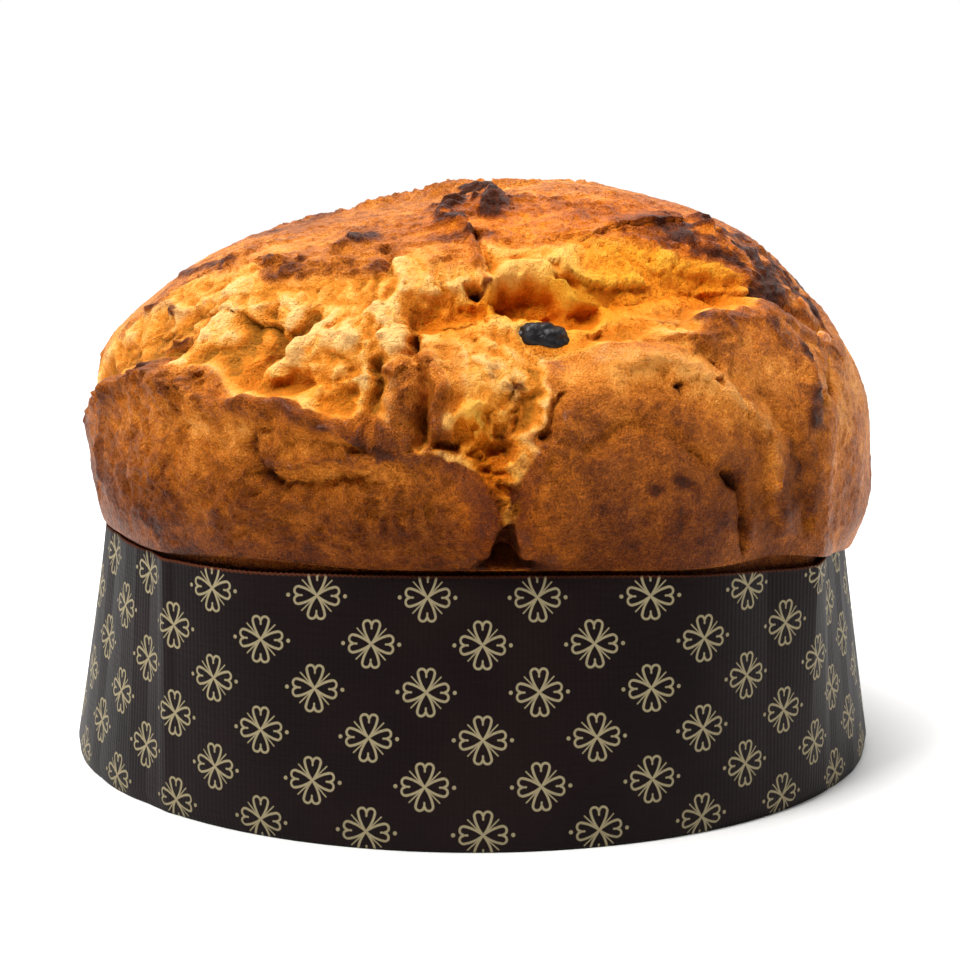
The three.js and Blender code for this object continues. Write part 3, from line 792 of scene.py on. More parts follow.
TOP_STROKES = (
    Stroke("burnt crag", ((-10, 65), (-5, 69), (1, 68), (5, 62)), 5, 2.6, 3.2, -1, rough=1.6),
    Stroke("crag's tip", ((-12, 78), (2, 80), (10, 76)), 4.4, 2.6, 2.6, -1, rough=1.2),
    Stroke("crag's foot", ((4, 60), (6, 56)), 3.2, 1.2, 2.6, -1, rough=1.0),
    Stroke("small crag", ((-9, 59), (-6, 54), (-5, 52)), 3.2, 2.2, 3, -1, rough=1.2),
    Stroke("small brown knob", ((3.4, 45), (4.8, 45)), 2.0, 0.7, 0.8, -0.8),
    Stroke("strand", ((-3, 50), (0, 42), (2, 37), (3.6, 31.5)), 1.1, 2.0, 0.15, -0.8),
    Stroke("strand's shadow side", ((0.8, 46), (2.4, 41), (4, 36.4), (5.4, 32)), 0.9, -2.2, 0.6, 0),
    # The toast in the upper crease and the string of holes is painted shade.
    Stroke("upper crease", ((-19, 42), (-17, 34), (-14, 27)), 1.3, -2.8, 0.45, 0.1),
    Stroke("string of holes", ((-18.4, 32), (-16.4, 27)), 1.1, -2.0, 0.5, 0.2),
    Stroke("bare pale patch", ((-14, 35), (-13.4, 32)), 4, 1.8, -0.7, 0.9),
    Stroke("first brown crest", ((-43, 34), (-36, 35)), 3, 1.2, 0.8, -0.9, rough=1.6),
    Stroke("red-brown skin", ((-37, 32), (-29, 34), (-22, 36)), 5.5, 0.4, 0.42, -1, rough=0.6),
    Stroke("second brown crest", ((-31, 39), (-26, 44)), 2.4, 1.0, 0.85, -0.9, rough=1.6),
    Stroke("third brown crest", ((-60, 36), (-50, 42)), 3, 0.6, 0.6, -0.7, rough=1.2),
    Stroke("fourth brown crest", ((-8, 44), (-2, 45)), 2.6, 0.4, 0.5, -0.7, rough=1.2),
    Stroke("fifth brown crest", ((10, 66), (30, 62)), 3, 0.4, 0.5, -0.7, rough=1.2),
    Stroke("pale band on the right", ((4, 38), (14, 37), (25, 37)), 3.5, 0.8, -0.25, 0.45),
)

# The toast in the left back seam and the back and side folds is painted shade.
BACK_STROKES = (
    Stroke("back lip", ((168, 56), (160, 34), (166, 12), (170, -4)), 6, 2, 0.35, -0.5, Profile.SHELF),
    Stroke("other lip", ((-175, -6), (-174, 14), (-176, 34), (-168, 54)), 6, 2, 0.35, -0.5, Profile.SHELF),
    Stroke("left back seam", ((-96, 6), (-104, 18), (-116, 26)), 2, -2, 0.5, 0.2),
    Stroke("back brown patch", ((120, 34), (136, 40)), 9, 0.3, 0.45, -0.6),
    Stroke("left back patch", ((-130, 30), (-146, 38)), 8, 0.3, 0.4, -0.6),
    Stroke("left side patch", ((-104, 40), (-112, 52)), 9, 0.2, 0.4, -0.6),
    Stroke("back fold", ((134, 6), (146, -2), (158, 2)), 2, -3.4, 0.4, -0.4),
    Stroke("second back fold", ((-130, 14), (-142, 4), (-156, 6)), 2, -3.4, 0.4, -0.4),
    Stroke("right side fold", ((86, 8), (98, 0), (112, 4)), 1.8, -2.6, 0.3, -0.4),
    Stroke("left side fold", ((-88, -2), (-100, 8), (-114, 12)), 1.8, -2.6, 0.3, -0.4),
)

STROKES = (
    *LEFT_ARM_STROKES,
    *MIDDLE_STROKES,
    *LEFT_FLAP_STROKES,
    *RIGHT_FLAP_STROKES,
    *RIGHT_SIDE_STROKES,
    *TOP_STROKES,
    *BACK_STROKES,
)


@dataclass
class Grid:
    """The crown cut into rows and columns, with what the sculptor has made of each place.

    Attributes:
        out: The direction in which a place lies from the crown's centre.
        base: Its point on the plain dome.
        warped: That point pushed about, so that no tear or stroke has a straight edge.
        rise: How far it stands over (+) or under (-) the dome, in millimetres.
        toast: How much browner (+) or paler (-) it is than the even bake.
        bare: How bare its crumb is, from 0 for crust to 1.
    """

    azimuth: Array
    latitude: Array
    out: Array
    base: Array
    warped: Array
    rise: Array = field(init=False)
    toast: Array = field(init=False)
    bare: Array = field(init=False)

    def __post_init__(self) -> None:
        """Starts with no relief and an even bake."""
        shape = self.azimuth.shape
        self.rise = np.zeros(shape, np.float32)
        self.toast = np.zeros(shape, np.float32)
        self.bare = np.zeros(shape, np.float32)


@dataclass(frozen=True)
class TearShape:
    """How a tear's side is shaped. Lengths are millimetres, measured outward from its edge."""

    reach: float = 60
    frayed: Edge = Edge(-2, 8)
    fray: Layer = Layer(11, 8, 45, 3)
    fray_bias: float = 2
    bared: Edge = Edge(1.2, -2.4)
    bared_spread: float = 4
    lip_middle: float = 3
    lip_width: float = 3.2
    lip_rise: float = 1.3
    lip_toast: float = 0.08
    floor: float = 4.2
    floor_lift: float = 0.7
    sunk: Edge = Edge(1.0, -4.5)
    sunk_spread: float = 3


@dataclass(frozen=True)
class StrokeGrain:
    """How a stroke's colour breaks up into flecks, and its surface into lumps."""

    flecks: Layer = Layer(7, 1.2, 50, 4)
    fleck_level: float = 0.6
    fleck_least: float = 0.05
    fleck_most: float = 1.4
    lumps: Layer = Layer(5, 2, 53, 2)
    lump_roundness: float = 0.02
    lump_level: float = 0.5
    tint_spread: float = 1.5
    toast: float = 0.55


@dataclass(frozen=True)
class CrumbGrain:
    """The torn crumb's relief: billows, stretched rolls, fibres, a web of holes, and pores."""

    billows: Layer = Layer(15, 2.5, 4, 2)
    billow_roundness: float = 0.004
    rolls: Layer = Layer(5.5, 1.9, 9, reach=8)
    roll_roundness: float = 0.01
    level: float = 1.5
    calm: tuple[Patch, ...] = (
        Patch("smooth amber crumb", ((20, 29), (32, 32), (44, 30)), 17, 0.75),
        Patch("middle lump", ((-3, 20), (2, 17), (5, 13)), 9, 0.5),
    )
    far_left: Edge = Edge(-40, -60)
    far_left_calm: float = 0.45
    top_share: float = 0.6
    top_middle: float = -8
    top_front: Edge = Edge(100, 70)
    top_foot: Edge = Edge(24, 36)
    top_end: Edge = Edge(88, 70)
    leans: tuple[tuple[float, Edge], ...] = ((45, Edge(-5, -40)), (-18, Edge(20, 60)))
    fibres: Layer = Layer(1.4, 0.55, 12, reach=3.6)
    fine: Layer = Layer(2.2, 0.3, 15, 2)
    web: Patch = Patch("web of the front tear", ((3, 9), (3.4, 5), (3.8, 1)), 5)
    web_push: Layer = Layer(3, 1.4, 60)
    web_cells: Layer = Layer(3.6, 1.6, 3)
    web_wall: Edge = Edge(0.0, 0.34)
    web_level: float = 0.5
    web_elsewhere: float = 0.2
    web_groove: float = 0.25
    pores: Layer = Layer(5.5, 0.3, 6)
    pore_side: Edge = Edge(0.2, 0.05)
    pore_fields: Layer = Layer(18, 1, 62)
    pore_field_edge: Edge = Edge(-0.1, 0.35)
    # How much darker the pores are made: painted shade in them.
    pore_painted_shade: float = 0.22
    crumb_pore: float = 1.0


@dataclass(frozen=True)
class CrustGrain:
    """The crust's relief: broad swells, wrinkles, creases, pebbles and flakes.

    Attributes:
        hubs: What the wrinkles run round: azimuth, latitude, and reach as a share of the radius.
    """

    hubs: tuple[tuple[float, float, float], ...] = ((23, -3, 0.5), (-40, 13, 0.55))
    wrinkled: tuple[Patch, ...] = (
        Patch("left flap", ((-46, 4), (-36, 5), (-12, 0)), 24, 0.8),
        Patch("round lobe", ((20, 0), (26, -6)), 18, -0.2),
    )
    swells: Layer = Layer(24, 0.7, 18, 2)
    swells_behind: float = 1.4
    wrinkles: Layer = Layer(1.9, 1.1, 21, reach=7)
    creases: Layer = Layer(5, 1.3, 64, reach=11)
    crease_sharpness: float = 2.6
    crease_level: float = 0.3
    pebbles: Layer = Layer(1.9, 0.2, 24, 2)
    strength: float = 0.3
    lip_blur: int = 22
    lip: Edge = Edge(0.02, 0.4)
    lip_strength: float = 0.45
    beside: Edge = Edge(58, 76)
    beside_calm: float = 0.7
    behind: Edge = Edge(95, 120)
    strength_behind: float = 0.9
    flakes: Layer = Layer(5, 1.1, 27, 3)
    flaked: Edge = Edge(0.2, 0.42)


@dataclass(frozen=True)
class Bake:
    """How brown the loaf is baked, from 0 for pale to 1 for burnt.

    Each band is an edge of latitude under which it is browner, and by how much: partly bake,
    and partly painted shade low on the crown and at its lip. Each hollow is over how many rows
    one is told, and how deep a full one is. The low right side's paler toast is painted light,
    and some spots are painted shade or a painted highlight.
    """

    even: float = 0.22
    # Browner low on the crown and at the lip: partly bake, partly painted shade.
    browning_and_shade_bands: tuple[tuple[Edge, float], ...] = ((Edge(34, 0), 0.2), (Edge(9, -9), 0.22))
    top_edge: Edge = Edge(28, 40)
    top_toast: float = 0.09
    # Paler toast on the low right side: painted light from the right.
    shoulder_azimuth: Edge = Edge(46, 56)
    shoulder_latitude: Edge = Edge(16, 8)
    shoulder_painted_light: float = 0.14
    hollows: tuple[tuple[int, float], ...] = ((7, 0.9), (20, 3.2))
    patches: Layer = Layer(17, 0.2, 30, 4)
    specks: Layer = Layer(3, 0.16, 33, 3)
    crest_toast: float = 0.12
    hollow_most: float = 0.6
    crumb_crest_toast: float = 0.2
    crumb_crest_from: float = 0.35
    crumb_pallor: float = 0.32
    spots: tuple[Patch, ...] = (
        # This spot's extra toast is painted shade on the right flap's round lobe.
        Patch("round lobe", ((18, 4), (26, -4)), 20, 0.1),
        # The paler toast here is partly lighter crust and partly a painted highlight.
        Patch("pale crust and painted highlight under the lip", ((-34, 10), (-28, 9), (-22, 8)), 7, -0.15),
        Patch("pale crest of the right flap", ((12, 13), (22, 15), (32, 13)), 8, -0.1),
        Patch("browned web", ((6, 9), (5.4, 5), (5.4, 0), (5, -4)), 6, 0.22, Ground.CRUMB),
        Patch("browned middle lump", ((-4, 18), (0, 14), (6, 13)), 8, 0.16, Ground.CRUMB),
        Patch("crust beside the gap", ((2, 2), (6, -2), (5, -7)), 8, -0.08, Ground.CRUST),
        # The extra toast at the foot of the left flap is painted shade low on the front.
        Patch("foot of the left flap", ((-56, -7), (-36, -6), (-16, -7)), 18, 0.07),
    )
    amber: tuple[Patch, ...] = (
        Patch("right arm", ((18, 27), (30, 31), (44, 29)), 15),
        Patch("caves", ((-6, 26), (2, 28), (12, 28)), 6),
        Patch("web", ((1, 10), (3, 4), (4, -4)), 9, 0.9),
        Patch("top", ((4, 52), (30, 50), (60, 46)), 22, 0.9),
        Patch("left arm", ((-30, 15), (-18, 12)), 6, 0.55),
    )


@dataclass(frozen=True)
class Seat:
    """The hollow that a piece of fruit lies in. Lengths are millimetres.

    Attributes:
        cover: How far the dough may stand over the fruit's middle, beside it.
        bank: How much farther it may stand under the fruit.
        flat: The share of the half length that stays flat, before the side rises.
    """

    middle: Array
    half_length: float
    cover: float = 1.0
    bank: float = 2.2
    under: Edge = Edge(-1.5, 3)
    flat: float = 0.8
    slope: float = 0.9

    def limit(self, centre: Array, out: Array) -> Array:
        """Returns how far the crown may stand from its centre, in each direction out."""
        away = self.middle - centre
        stand = np.linalg.norm(away)
        aside = np.linalg.norm(out * stand - away, axis=-1)
        below = self.under.at((away[2] / stand - out[..., 2]) * stand)
        slope = self.slope * np.maximum(0, aside - self.flat * self.half_length)
        return stand + self.cover + self.bank * below + slope


@dataclass
class Loaf:
    """The bread: a body inside the paper and a crown sculpted over the plain dome.

    Attributes:
        box: The lowest and the highest corner of the solid's box, in metres.
        front_step: The angle between columns in front, in degrees.
        back_step: The angle between columns behind.
        rows: How many rows lead from the lip to the top.
        lip_fade: How many degrees above the lip the relief takes to rise in full.
        gap_fade: The same for what sinks into the surface.
        most_faces: The triangles that the finished mesh may have.
        skin_margin: How far the surface stays inside the solid's box, in millimetres.
    """

    crown: CrownForm
    box: tuple[Vector, Vector]
    seats: tuple[Seat, ...]
    front_step: float = 0.25
    back_step: float = 0.5
    rows: int = 400
    front_half: float = 100
    lip_fade: float = 7
    gap_fade: float = 2.4
    most_faces: int = 192000
    bottom: float = 1.4
    body_gap: float = 2.2
    slot_over_lip: float = 0.2
    slot_over_rim: float = 0.4
    slot_cover: float = 0.4
    skin_margin: float = 0.4
    soft_zone: float = 1.0
    # The body's toast is dark brown: painted shade in the gap between the paper's rim and the crown.
    body_painted_shade: float = 0.7
    seed: int = 7
    warps: tuple[Layer, ...] = (Layer(15, 2.6, 1), Layer(5, 1.0, 2), Layer(2, 0.45, 3))
    stir: Layer = Layer(3.4, 0.55, 40)
    tear_shape: TearShape = TearShape()
    stroke_grain: StrokeGrain = StrokeGrain()
    crumb: CrumbGrain = CrumbGrain()
    crust: CrustGrain = CrustGrain()
    bake: Bake = Bake()

    def __post_init__(self) -> None:
        """Draws the loaf's noise."""
        self.noise = Noise(self.seed)

    def grid(self) -> Grid:
        """Returns the crown's empty grid."""
        front = np.arange(-self.front_half, self.front_half, self.front_step)
        back = np.arange(self.front_half, 360 - self.front_half, self.back_step)
        around = np.concatenate([front, back])
        low = self.crown.lip_latitude(around)
        share = np.linspace(0, 1, self.rows, endpoint=False)[:, None]
        latitude = low + (90 - low) * share
        azimuth = np.broadcast_to(around, latitude.shape).copy()
        base = self.crown.place(azimuth, latitude).astype(np.float32)
        warped = base
        for warp in self.warps:
            warped = self.noise.push(warped, warp)
        out = heading(azimuth, latitude).astype(np.float32)
        return Grid(azimuth, latitude, out, base, warped.astype(np.float32))

    def across_line(self, points: Array, line: Array) -> tuple[Array, Array, Array]:
        """Measures points against a line on the crown.

        Args:
            points: The points, one a row.
            line: The line's corners, one a row, with their half widths as a fourth column.

        Returns:
            The distance to the line, the same with a minus sign on the line's right, as
            one follows it, and the line's half width where it is nearest.
        """
        nearest = np.full(len(points), np.inf, np.float32)
        signed = nearest.copy()
        half = np.zeros(len(points), np.float32)
        for start, end in zip(line[:-1], line[1:]):
            span = end[:3] - start[:3]
            reach = points - start[:3]
            share = np.clip(reach @ span / (span @ span), 0, 1)
            reach = reach - share[:, None] * span
            gap = np.sqrt((reach * reach).sum(axis=1))
            middle = (start[:3] + end[:3]) / 2 - self.crown.centre
            left = np.cross(middle, span)
            side = np.where(reach @ left >= 0, gap, -gap)
            width = start[3] + (end[3] - start[3]) * share
            closer = gap - width < nearest - half
            nearest = np.where(closer, gap, nearest)
            signed = np.where(closer, side, signed)
            half = np.where(closer, width, half)
        return nearest, signed, half

    def traced(self, path: Iterable[Sequence[float]]) -> Array:
        """Returns a path's corners as points on the dome, with their half widths."""
        corners = [(*place, 0.0)[:3] for place in path]
        azimuth, latitude, half = (np.array(column, float) for column in zip(*corners))
        return np.column_stack([self.crown.place(azimuth, latitude), half])

    def near(self, grid: Grid, line: Array, reach: float) -> Array:
        """Returns which grid places lie near enough to a line to be touched by it."""
        middle = line[:, :3].mean(axis=0)
        span = np.linalg.norm(line[:, :3] - middle, axis=1).max() + reach
        away = grid.base - middle.astype(np.float32)
        return (away * away).sum(axis=-1) < span * span

    def patch(self, grid: Grid, spot: Patch) -> Array:
        """Returns a patch's share for each place of the grid, falling off round its middle line."""
        line = self.traced(spot.path)
        weight = np.zeros(grid.rise.shape, np.float32)
        touched = self.near(grid, line, 3 * spot.width)
        gap, _, _ = self.across_line(grid.warped[touched], line)
        weight[touched] = np.exp(-((gap / spot.width) ** 2))
        return spot.share * weight

    def lay_mounds(self, grid: Grid) -> None:
        """Adds the broad lumps and hollows to the grid."""
        for mound in MOUNDS:
            azimuth, latitude = np.array(mound.azimuth), np.array(mound.latitude)
            out, east = heading(azimuth, latitude), eastward(azimuth)
            north = np.cross(out, east)
            reach = grid.base - self.crown.place(azimuth, latitude)
            spread = (reach @ east / mound.across) ** 2 + (reach @ north / mound.along) ** 2
            spread += (reach @ out / (mound.across + mound.along)) ** 2
            grid.rise += mound.out * np.exp(-spread)

    def tear_open(self, grid: Grid) -> None:
        """Opens the arms of the cross cut, with a rolled lip outside and crumb inside."""
        shape = self.tear_shape
        gap = np.full(grid.rise.shape, shape.reach, np.float32)
        ragged = np.zeros_like(gap)
        depth = np.ones_like(gap)
        for tear in TEARS:
            line = self.traced(tear.path)
            touched = self.near(grid, line, shape.reach)
            distance, side, half = self.across_line(grid.warped[touched], line)
            here = distance - half
            closer = here < gap[touched]
            fray = tear.ragged * shape.frayed.at(side)
            ragged[touched] = np.where(closer, fray, ragged[touched])
            depth[touched] = np.where(closer, tear.depth, depth[touched])
            gap[touched] = np.where(closer, here, gap[touched])
        fray = shape.fray.strength * self.noise.layers(grid.warped, shape.fray) - shape.fray_bias
        bare = shape.bared.at(gap + ragged * fray, shape.bared_spread * ragged)
        grid.bare = bare.astype(np.float32)
        lip = np.exp(-(((gap - shape.lip_middle) / shape.lip_width) ** 2)) * (1 - ragged) * depth
        floor = shape.floor * depth * (1 - shape.floor_lift * ragged)
        grid.rise += shape.lip_rise * lip - floor * shape.sunk.at(gap, shape.sunk_spread * ragged)
        grid.toast += shape.lip_toast * lip

    def draw_strokes(self, grid: Grid) -> None:
        """Works every stroke into the crown. Its toast breaks up into flecks."""
        grain = self.stroke_grain
        flecks = grain.flecks.strength * self.noise.layers(grid.warped, grain.flecks)
        flecks = np.clip(grain.fleck_level + flecks, grain.fleck_least, grain.fleck_most)
        lumps = np.sqrt(self.noise.layers(grid.warped, grain.lumps) ** 2 + grain.lump_roundness)
        lumps = grain.lumps.strength * lumps - grain.lump_level
        for stroke in STROKES:
            line = self.traced(stroke.path)
            touched = self.near(grid, line, 3 * stroke.width)
            gap, side, _ = self.across_line(grid.warped[touched], line)
            rise = stroke.rise(gap, side)
            grid.rise[touched] += rise * (stroke.out + stroke.rough * lumps[touched])
            tint = np.minimum(1, grain.tint_spread * rise)
            toast = stroke.toast * tint * grain.toast
            grid.toast[touched] += toast * (flecks[touched] if stroke.toast > 0 else 1)
            grid.bare[touched] += stroke.crumb * tint

    def fibre_direction(self, grid: Grid) -> Array:
        """Returns the way that torn crumb is stretched: up the crown, leaning with azimuth."""
        lean = np.radians(sum(most * edge.at(grid.azimuth) for most, edge in self.crumb.leans))
        east = eastward(grid.azimuth)
        north = np.cross(grid.out, east)
        return (np.sin(lean)[..., None] * east + np.cos(lean)[..., None] * north).astype(np.float32)

    def wrinkle_direction(self, grid: Grid) -> Array:
        """Works out the way that crust wrinkles run: round a hub on each front flap, else level.

        Args:
            grid: The crown's grid.

        Returns:
            A unit vector for each place.
        """
        mixed = eastward(grid.azimuth)
        for azimuth, latitude, reach in self.crust.hubs:
            hub = heading(np.array(float(azimuth)), np.array(float(latitude)))
            round_hub = np.cross(grid.out, hub)
            length = np.linalg.norm(round_hub, axis=-1, keepdims=True)
            round_hub = round_hub / np.maximum(length, TINY)
            near_hub = smoothstep(reach, reach / 2, length)
            backward = (round_hub * mixed).sum(axis=-1, keepdims=True) < 0
            mixed = mixed * (1 - near_hub) + np.where(backward, -round_hub, round_hub) * near_hub
        return (mixed / np.linalg.norm(mixed, axis=-1, keepdims=True)).astype(np.float32)

    def top_skin(self, grid: Grid) -> Array:
        """Returns where the crown's top has a rough, crumbly skin, from 0 to 1."""
        crumb = self.crumb
        front = crumb.top_front.at(np.abs(turn(grid.azimuth, crumb.top_middle)))
        return crumb.top_foot.at(grid.latitude) * front * crumb.top_end.at(grid.latitude)

    def grain_crumb(self, grid: Grid) -> None:
        """Adds the crumb's billows, stretched rolls, fibres and web of holes."""
        noise, crumb, bare = self.noise, self.crumb, grid.bare
        stretch = self.fibre_direction(grid)
        puff = np.sqrt(noise.layers(grid.warped, crumb.billows) ** 2 + crumb.billow_roundness)
        rolls = noise.fibres(grid.warped, stretch, crumb.rolls)
        rolls = np.sqrt(rolls**2 + crumb.roll_roundness)
        wild = 1
        for spot in crumb.calm:
            wild = wild - self.patch(grid, spot)
        coarse = np.maximum(bare * wild, crumb.top_share * self.top_skin(grid) * (1 - bare))
        rolls_share = 1 - crumb.far_left_calm * crumb.far_left.at(grid.azimuth)
        billows = crumb.billows.strength * puff + crumb.rolls.strength * rolls * rolls_share
        grid.rise += coarse * (billows - crumb.level)
        fibres = crumb.fibres.strength * noise.fibres(grid.warped, stretch, crumb.fibres)
        fine = crumb.fine.strength * noise.layers(grid.warped, crumb.fine)
        grid.rise += np.maximum(bare, coarse) * (fibres + fine)
        first, second = noise.cells(noise.push(grid.warped, crumb.web_push), crumb.web_cells)
        elsewhere = crumb.web_elsewhere * bare * (rolls < crumb.web_groove)
        web = self.patch(grid, crumb.web) + elsewhere
        holes = crumb.web_cells.strength * crumb.web_wall.at(second - first) - crumb.web_level
        grid.rise -= np.clip(web, 0, 1) * holes

    def prick_pores(self, grid: Grid) -> None:
        """Pricks small pores into the grid's crumb, and fewer into its crust."""
        noise, crumb = self.noise, self.crumb
        pores = crumb.pore_side.at(noise.cells(grid.warped, crumb.pores)[0])
        pores *= crumb.pore_field_edge.at(noise.soft(grid.base, crumb.pore_fields))
        grid.rise -= pores * (crumb.crumb_pore * grid.bare + crumb.pores.strength)
        # Painted shade: the pores are toasted darker than the surface round them.
        grid.toast += crumb.pore_painted_shade * pores

    def grain_crust(self, grid: Grid) -> None:
        """Adds the crust's swells, wrinkles, creases, pebbles and flakes."""
        noise, crust, bare = self.noise, self.crust, grid.bare
        direction = self.wrinkle_direction(grid)
        swells = noise.layers(grid.base, crust.swells)
        wrinkles = crust.wrinkles.strength * noise.fibres(grid.warped, direction, crust.wrinkles)
        creases = np.abs(noise.fibres(grid.warped, direction, crust.creases))
        ridges = np.clip(1 - crust.crease_sharpness * creases, 0, 1) ** 2 - crust.crease_level
        near_lip = blurred(bare, crust.lip_blur)
        strength = crust.strength + crust.lip_strength * crust.lip.at(near_lip)
        for spot in crust.wrinkled:
            strength = strength + self.patch(grid, spot)
        turned = np.abs(turn(grid.azimuth, 0))
        behind = crust.behind.at(turned)
        strength = strength * (1 - crust.beside_calm * crust.beside.at(turned))
        strength = strength + crust.strength_behind * behind
        relief = (crust.swells.strength + crust.swells_behind * behind) * swells
        relief = relief + strength * (wrinkles + crust.creases.strength * ridges)
        relief = relief + crust.pebbles.strength * noise.layers(grid.base, crust.pebbles)
        grid.rise += (1 - bare) * relief
        flakes = crust.flaked.at(noise.layers(grid.warped, crust.flakes)) * near_lip
        grid.rise += (1 - bare) * crust.flakes.strength * flakes

    def baked(self, grid: Grid) -> dict[str, Array]:
        """Works out how baked, how bare, how deep and how amber each place is. Its toast also
        holds painted shade and painted light.

        Args:
            grid: The sculpted grid.

        Returns:
            The toast, from 0 for pale to 1 for burnt, the bare crumb, the depth of each
            place below what is round it, from -1 on a crest to 1 in a hollow, and the amber.
        """
        noise, bake, bare = self.noise, self.bake, grid.bare
        depth = 0
        for reach, full in bake.hollows:
            depth = depth + 0.5 * (blurred(grid.rise, reach) - grid.rise) / full
        depth = np.clip(depth, -1, 1)
        shares = {Ground.ALL: 1, Ground.CRUST: 1 - bare, Ground.CRUMB: bare}
        toast = bake.even + grid.toast
        for layer, points in ((bake.patches, grid.warped), (bake.specks, grid.base)):
            toast = toast + layer.strength * noise.layers(points, layer)
        # Partly bake and partly painted shade: the crown is toasted browner low down and at its lip.
        for edge, browner in bake.browning_and_shade_bands:
            toast = toast + browner * edge.at(grid.latitude)
        toast += bake.top_toast * bake.top_edge.at(grid.latitude) * (1 - bare)
        # Painted light: the low right side is made paler, as if lit from the right.
        shoulder = bake.shoulder_azimuth.at(grid.azimuth) * bake.shoulder_latitude.at(grid.latitude)
        toast -= bake.shoulder_painted_light * shoulder
        # Some spots are painted shade or a painted highlight as well as bake.
        for spot in bake.spots:
            toast += shares[spot.ground] * self.patch(grid, spot)
        toast += (1 - bare) * bake.crest_toast * np.clip(-depth, -bake.hollow_most, 1)
        crests = np.clip(-depth - bake.crumb_crest_from, 0, 1)
        toast += bare * (bake.crumb_crest_toast * crests - bake.crumb_pallor)
        amber = sum(self.patch(grid, spot) for spot in bake.amber)
        masks = {"toast": np.clip(toast, 0, 1), "bare": bare, "depth": depth}
        return masks | {"amber": np.clip(amber, 0, 1)}

    def kept_in(self, grid: Grid, reach: Array) -> Array:
        """Presses the surface softly together near the sides of the solid's box.

        Args:
            grid: The crown's grid.
            reach: The distance of each place from the crown's centre.

        Returns:
            The distances, none of them past the box.
        """
        for axis in range(3):
            for corner, sign in zip(self.box, (-1, 1)):
                wall = sign * (corner[axis] / MM - self.crown.centre[axis]) - self.skin_margin
                along = np.maximum(sign * grid.out[..., axis], LEAST_SLOPE)
                over = reach * along - (wall - self.soft_zone)
                pressed = self.soft_zone * np.tanh(np.maximum(over, 0) / self.soft_zone)
                reach = np.where(over > 0, (wall - self.soft_zone + pressed) / along, reach)
        return reach

    def sculpt(self) -> tuple[Array, dict[str, Array]]:
        """Sculpts the crown.

        Returns:
            The crown's points in rows from lip to top, and its named masks.
        """
        grid = self.grid()
        self.tear_open(grid)
        self.lay_mounds(grid)
        self.draw_strokes(grid)
        grid.bare = np.clip(grid.bare, 0, 1)
        self.grain_crumb(grid)
        self.prick_pores(grid)
        self.grain_crust(grid)
        masks = self.baked(grid)
        above = grid.latitude - grid.latitude[0]
        fade = np.where(grid.rise < 0, self.gap_fade, self.lip_fade)
        shown = smoothstep(0, 1, above / fade)
        reach = np.linalg.norm(grid.base - self.crown.centre, axis=-1) + grid.rise * shown
        for seat in self.seats:
            reach = np.minimum(reach, seat.limit(self.crown.centre, grid.out))
        points = self.crown.centre + grid.out * self.kept_in(grid, reach)[..., None]
        stirred = self.noise.push(points, self.stir)
        return points + (stirred - points) * (grid.bare * shown)[..., None], masks

    def body_rings(self, around: Array) -> list[Array]:
        """Returns the rings of the body, from its foot to the slot that holds the rim.

        Args:
            around: The azimuths of the crown's columns.

        Returns:
            The rings' points: at the foot, at the slot's top inside, and there outside.
        """
        case = self.crown.case
        over_lip = self.crown.lip_height(around) + self.slot_over_lip
        slot_top = np.maximum(over_lip, case.rim_height(around) + self.slot_over_rim)
        foot = self.bottom + 0 * around
        steps = ((foot, -self.body_gap), (slot_top, -self.body_gap), (slot_top, self.slot_cover))
        return [ring(around, case.radius(around, z) + aside, z) for z, aside in steps]

    def mesh(self) -> bpy.types.Object:
        """Builds the loaf as one closed mesh.

        Returns:
            The mesh's object, with the masks on its vertices.
        """
        points, masks = self.sculpt()
        around = np.degrees(np.arctan2(points[0, :, 0], -points[0, :, 1]))
        rings = self.body_rings(around)
        stack = np.concatenate([np.array(rings), points])
        rows, columns = stack.shape[:2]
        top = points[-1].mean(axis=0)
        vertices = np.concatenate([stack.reshape(-1, 3), [[0, 0, self.bottom], top]])
        corner = np.arange(rows * columns).reshape(rows, columns)
        foot, peak = rows * columns, rows * columns + 1
        fans = np.concatenate([flipped(fan(foot, corner[0])), fan(peak, corner[-1])])
        loaf = mesh_object("loaf_dressed", vertices * MM, [band(corner[:-1], corner[1:]), fans])
        hidden = len(rings) * columns
        for name, mask in masks.items():
            # The body shows only in the gap under the crown, and its dark toast there is painted shade.
            body_value = self.body_painted_shade if name == "toast" else 0.0
            ends = [body_value, mask[-1].mean()]
            add_values(loaf, name, np.concatenate([np.full(hidden, body_value), mask.reshape(-1), ends]))
        return loaf

    def build(self) -> bpy.types.Object:
        """Builds the loaf, dresses it and puts it in the place of its solid.

        Returns:
            The dressed loaf.
        """
        loaf = self.mesh()
        loaf = thinned(loaf, self.most_faces)
        smooth(loaf)
        loaf.data.materials.append(BakedDough().material())
        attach(loaf, "root")
        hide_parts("loaf")
        return loaf


def band(lower: Array, upper: Array) -> Array:
    """Returns the four-cornered faces between rows of corners that run round."""
    corners = [lower, np.roll(lower, -1, axis=1), np.roll(upper, -1, axis=1), upper]
    return np.stack(corners, axis=-1).reshape(-1, 4)


def fan(tip: int, rim: Array) -> Array:
    """Returns the triangles from one corner to a row of corners that runs round."""
    return np.stack([np.full(len(rim), tip), rim, np.roll(rim, -1)], axis=-1)


def flipped(faces: Array) -> Array:
    """Returns faces turned over, each with the same first corner."""
    return np.concatenate([faces[:, :1], faces[:, :0:-1]], axis=1)


